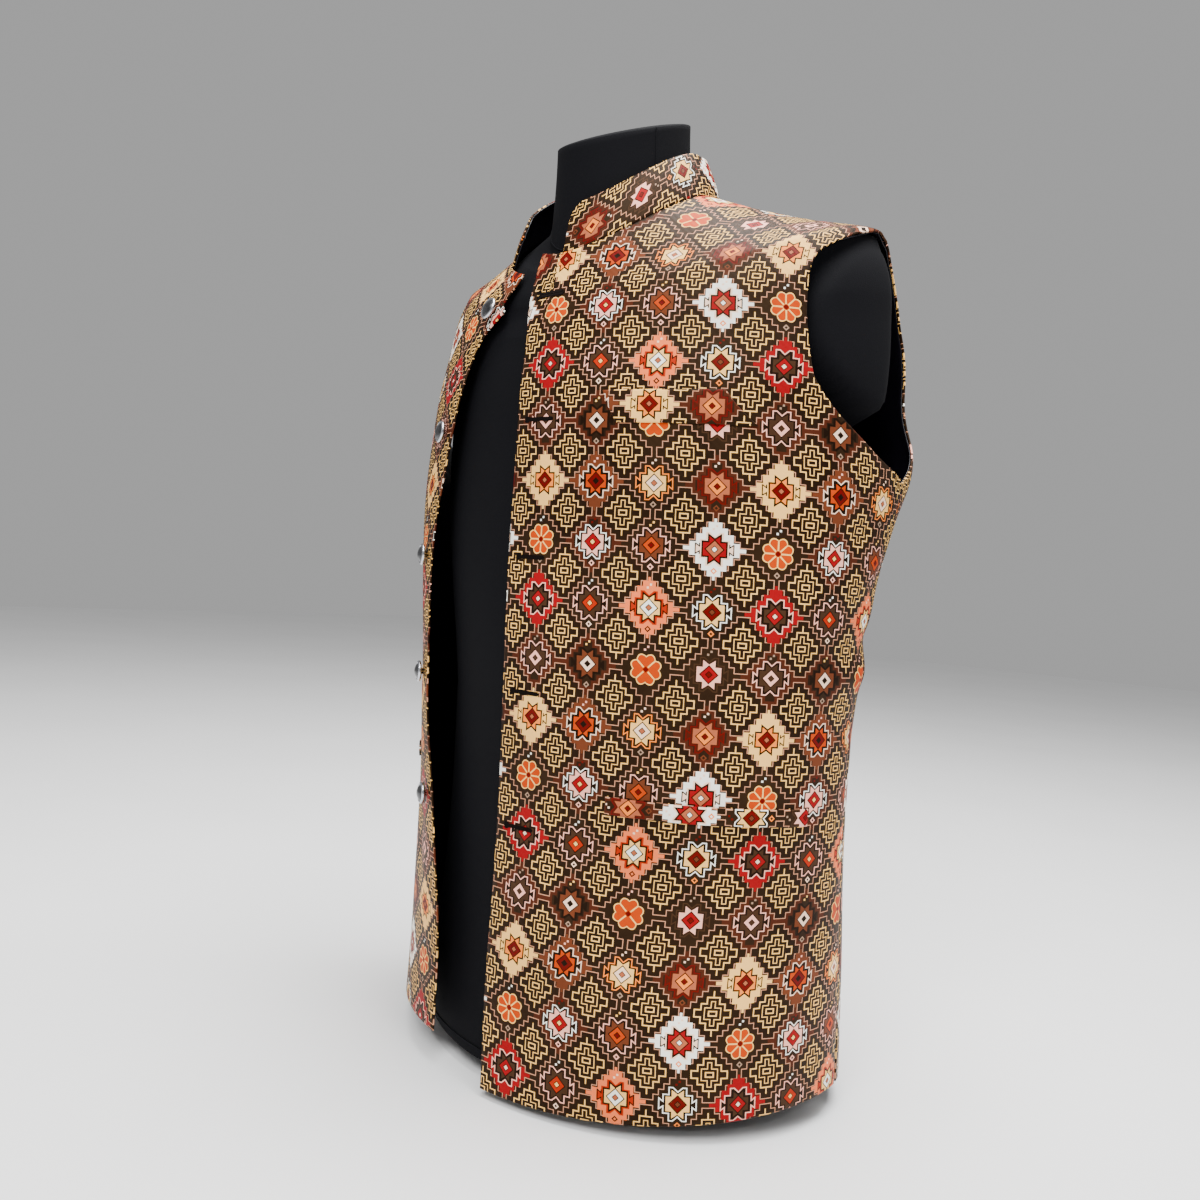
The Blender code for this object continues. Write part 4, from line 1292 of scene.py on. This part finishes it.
        # Painted sheen and shade: this broad noise makes soft lighter and darker patches in the colour,
        # like light on folds.
        broad = self.noise(self.flat, BROAD_SCALE)
        tone = (threads * THREAD_TONE + 0.85) * (broad * BROAD_PAINTED_SHEEN + 0.60)
        shaded = self.add("ShaderNodeVectorMath", {"operation": "SCALE"}, {0: self.colour, 3: tone})
        twill = ((self.x + self.y) * TWILL_TURN).sine()
        self.feed("Base Color", shaded.outputs[0])
        self.feed("Roughness", self.sheen * 0.2 + 0.40)
        self.bump(twill * TWILL_RISE + threads + raised * MAZE_RISE, distance=0.0002, strength=0.35)


def printed_cloth():
    """The jacket's cloth, with the print drawn layer by layer."""
    cloth = PrintedCloth()
    cloth.draw_borders()
    cloth.draw_stars()
    cloth.draw_diamonds()
    cloth.draw_flowers()
    cloth.draw_marks()
    cloth.weave(raised=cloth.draw_mazes())
    return cloth.material


def grained(finish, scale, detail, dark, light, smoothest, spread):
    """Colour and roughness that follow one fine noise, which comes back for a bump."""
    grain = finish.noise(finish.object_place(), scale, detail)
    finish.feed("Base Color", finish.mix(srgb(*dark), srgb(*light), grain))
    finish.feed("Roughness", grain * spread + smoothest)
    return grain


def lining_satin():
    """Black satin with soft rumples, and a faint violet sheen painted into its colour along them."""
    finish = Finish("lining", specular_ior_level=0.25)
    # Painted sheen: the colour turns from black to violet where the rumples rise.
    rumples_and_sheen = grained(finish, 38.0, 3.0, (5, 5, 7), (16, 12, 22), smoothest=0.30, spread=0.2)
    finish.bump(rumples_and_sheen, distance=0.0015, strength=0.5)
    return finish.material


def torso_jersey():
    """Matt black jersey, slightly hairy."""
    finish = Finish("torso_jersey", specular_ior_level=0.08)
    place = finish.object_place()
    knit = finish.noise(place, 1100.0)
    broad = finish.noise(place, 9.0)
    finish.feed("Base Color", finish.mix(srgb(5, 5, 7), srgb(15, 15, 19), knit * 0.6 + broad * 0.4))
    finish.feed("Roughness", broad * 0.15 + 0.74)
    finish.bump(knit, distance=0.0004, strength=0.4)
    return finish.material


def base_board():
    """Black painted board with a fine grain."""
    finish = Finish("base_board")
    grain = grained(finish, 160.0, 4.0, (20, 20, 21), (36, 36, 38), smoothest=0.5, spread=0.2)
    finish.bump(grain, distance=0.0002, strength=0.3)
    return finish.material


def button_metal():
    """Polished steel with fine scratches."""
    finish = Finish("button_metal", metallic=1.0)
    grained(finish, 900.0, 4.0, (168, 170, 176), (206, 206, 210), smoothest=0.16, spread=0.16)
    return finish.material


def button_dome():
    """Black enamel with a soft gloss."""
    finish = Finish("button_dome", coat_weight=0.6)
    grained(finish, 700.0, 3.0, (8, 8, 10), (22, 22, 26), smoothest=0.25, spread=0.15)
    return finish.material


def thread():
    """Dark brown buttonhole thread."""
    finish = Finish("thread", specular_ior_level=0.05)
    grained(finish, 2600.0, 2.0, (7, 4, 3), (20, 13, 10), smoothest=0.6, spread=0.2)
    return finish.material


# Degrees, except for the distance from the middle of the jacket, that middle, and the lens.
CAMERA_AZIMUTH = 39.6
CAMERA_PAN = 0.8
CAMERA_PITCH = -1.2
CAMERA_ROLL = 4.0
CAMERA_DISTANCE = 0.926
CAMERA_MIDDLE = Vector((0.0, -0.020, 0.400))
CAMERA_LENS = 32.94

Light = namedtuple("Light", "name place size power")
LIGHTS = [
    Light("key", (0.8, -1.9, 2.5), 1.3, 93),
    Light("fill", (-1.8, -1.6, 1.0), 1.6, 2),
    Light("top", (0.3, 0.1, 2.3), 1.4, 122),
    Light("rim", (1.6, 1.6, 1.4), 1.2, 4),
]
LIGHTS_AIM = (0.0, 0.0, 0.40)
SKY_STRENGTH = 0.40


def add_camera():
    """Camera of the photograph: low, from the wearer's front left, with a slight roll."""
    turns = (CAMERA_AZIMUTH, CAMERA_PAN, CAMERA_PITCH, CAMERA_ROLL)
    azimuth, pan, pitch, roll = (math.radians(turn) for turn in turns)
    place = CAMERA_MIDDLE + Vector((math.sin(azimuth), -math.cos(azimuth), 0)) * CAMERA_DISTANCE
    heading = azimuth + pan
    ahead = Vector((-math.sin(heading), math.cos(heading), 0))
    right = Vector((math.cos(heading), math.sin(heading), 0))
    look = ahead * math.cos(pitch) + Vector((0, 0, math.sin(pitch)))
    up = right.cross(look)
    right_rolled = right * math.cos(roll) + up * math.sin(roll)
    up_rolled = up * math.cos(roll) - right * math.sin(roll)
    turn = Matrix((right_rolled, up_rolled, -look)).transposed().to_4x4()
    data = bpy.data.cameras.new("camera")
    data.lens = CAMERA_LENS
    camera = add_object("camera", data)
    camera.matrix_world = Matrix.Translation(place) @ turn
    bpy.context.scene.camera = camera


def add_light(name, place, size, power):
    """Soft square light that looks at the jacket."""
    data = bpy.data.lights.new(name, "AREA")
    data.shape = "SQUARE"
    data.size = size
    data.energy = power
    light = add_object(name, data)
    light.location = place
    light.rotation_euler = (Vector(LIGHTS_AIM) - Vector(place)).to_track_quat("-Z", "Y").to_euler()


def add_studio():
    """Pale floor and soft lights."""
    floor = Finish("pale_floor", roughness=0.9)
    mottle = floor.noise(floor.object_place(), 3.0)
    floor.feed("Base Color", floor.mix(srgb(236, 236, 236), srgb(244, 244, 244), mottle))
    corners = [(-6, -6, 0), (6, -6, 0), (6, 6, 0), (-6, 6, 0)]
    add_mesh("floor", corners, [(0, 1, 2, 3)], [floor.material])
    world = bpy.data.worlds.new("studio")
    world.use_nodes = True
    sky = world.node_tree.nodes["Background"].inputs
    sky["Color"].default_value = (1.0, 1.0, 1.0, 1.0)
    sky["Strength"].default_value = SKY_STRENGTH
    bpy.context.scene.world = world
    for light in LIGHTS:
        add_light(*light)


def make_materials():
    """Every finish, by its name."""
    return {
        "printed_cloth": printed_cloth(),
        "lining": lining_satin(),
        "torso_jersey": torso_jersey(),
        "base_board": base_board(),
        "button_metal": button_metal(),
        "button_dome": button_dome(),
        "thread": thread(),
    }


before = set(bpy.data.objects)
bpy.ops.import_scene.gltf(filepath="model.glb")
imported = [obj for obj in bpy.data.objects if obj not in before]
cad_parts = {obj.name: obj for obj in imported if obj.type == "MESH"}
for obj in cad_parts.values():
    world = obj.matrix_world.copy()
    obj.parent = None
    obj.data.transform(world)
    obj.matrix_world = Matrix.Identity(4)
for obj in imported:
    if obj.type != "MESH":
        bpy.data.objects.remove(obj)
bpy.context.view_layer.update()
MATERIALS = make_materials()
STITCHES = stitch_tree()

add_form()
add_form_seams()
add_board()
left_shares = np.linspace(0, 1, LEFT_FRONT_COLUMNS)
right_shares = np.linspace(1, 0, RIGHT_FRONT_COLUMNS)
back_shares = np.linspace(0, 1, BACK_COLUMNS)
add_panel("left_front", left_front_place, left_shares, partial(front_print, 1))
add_panel("right_front", right_front_place, right_shares, partial(front_print, -1))
add_panel("back", back_place, back_shares, back_print, BACK_LINING_INSET)
add_collar()
add_welt(CHEST_WELT, chest_welt_print)
add_welt(LEFT_POCKET_WELT, pocket_welt_print)
add_welt(RIGHT_POCKET_WELT, pocket_welt_print)
for number, height in enumerate(BUTTON_HEIGHTS, start=1):
    add_button(number, height)
add_buttonholes()
add_camera()
add_studio()
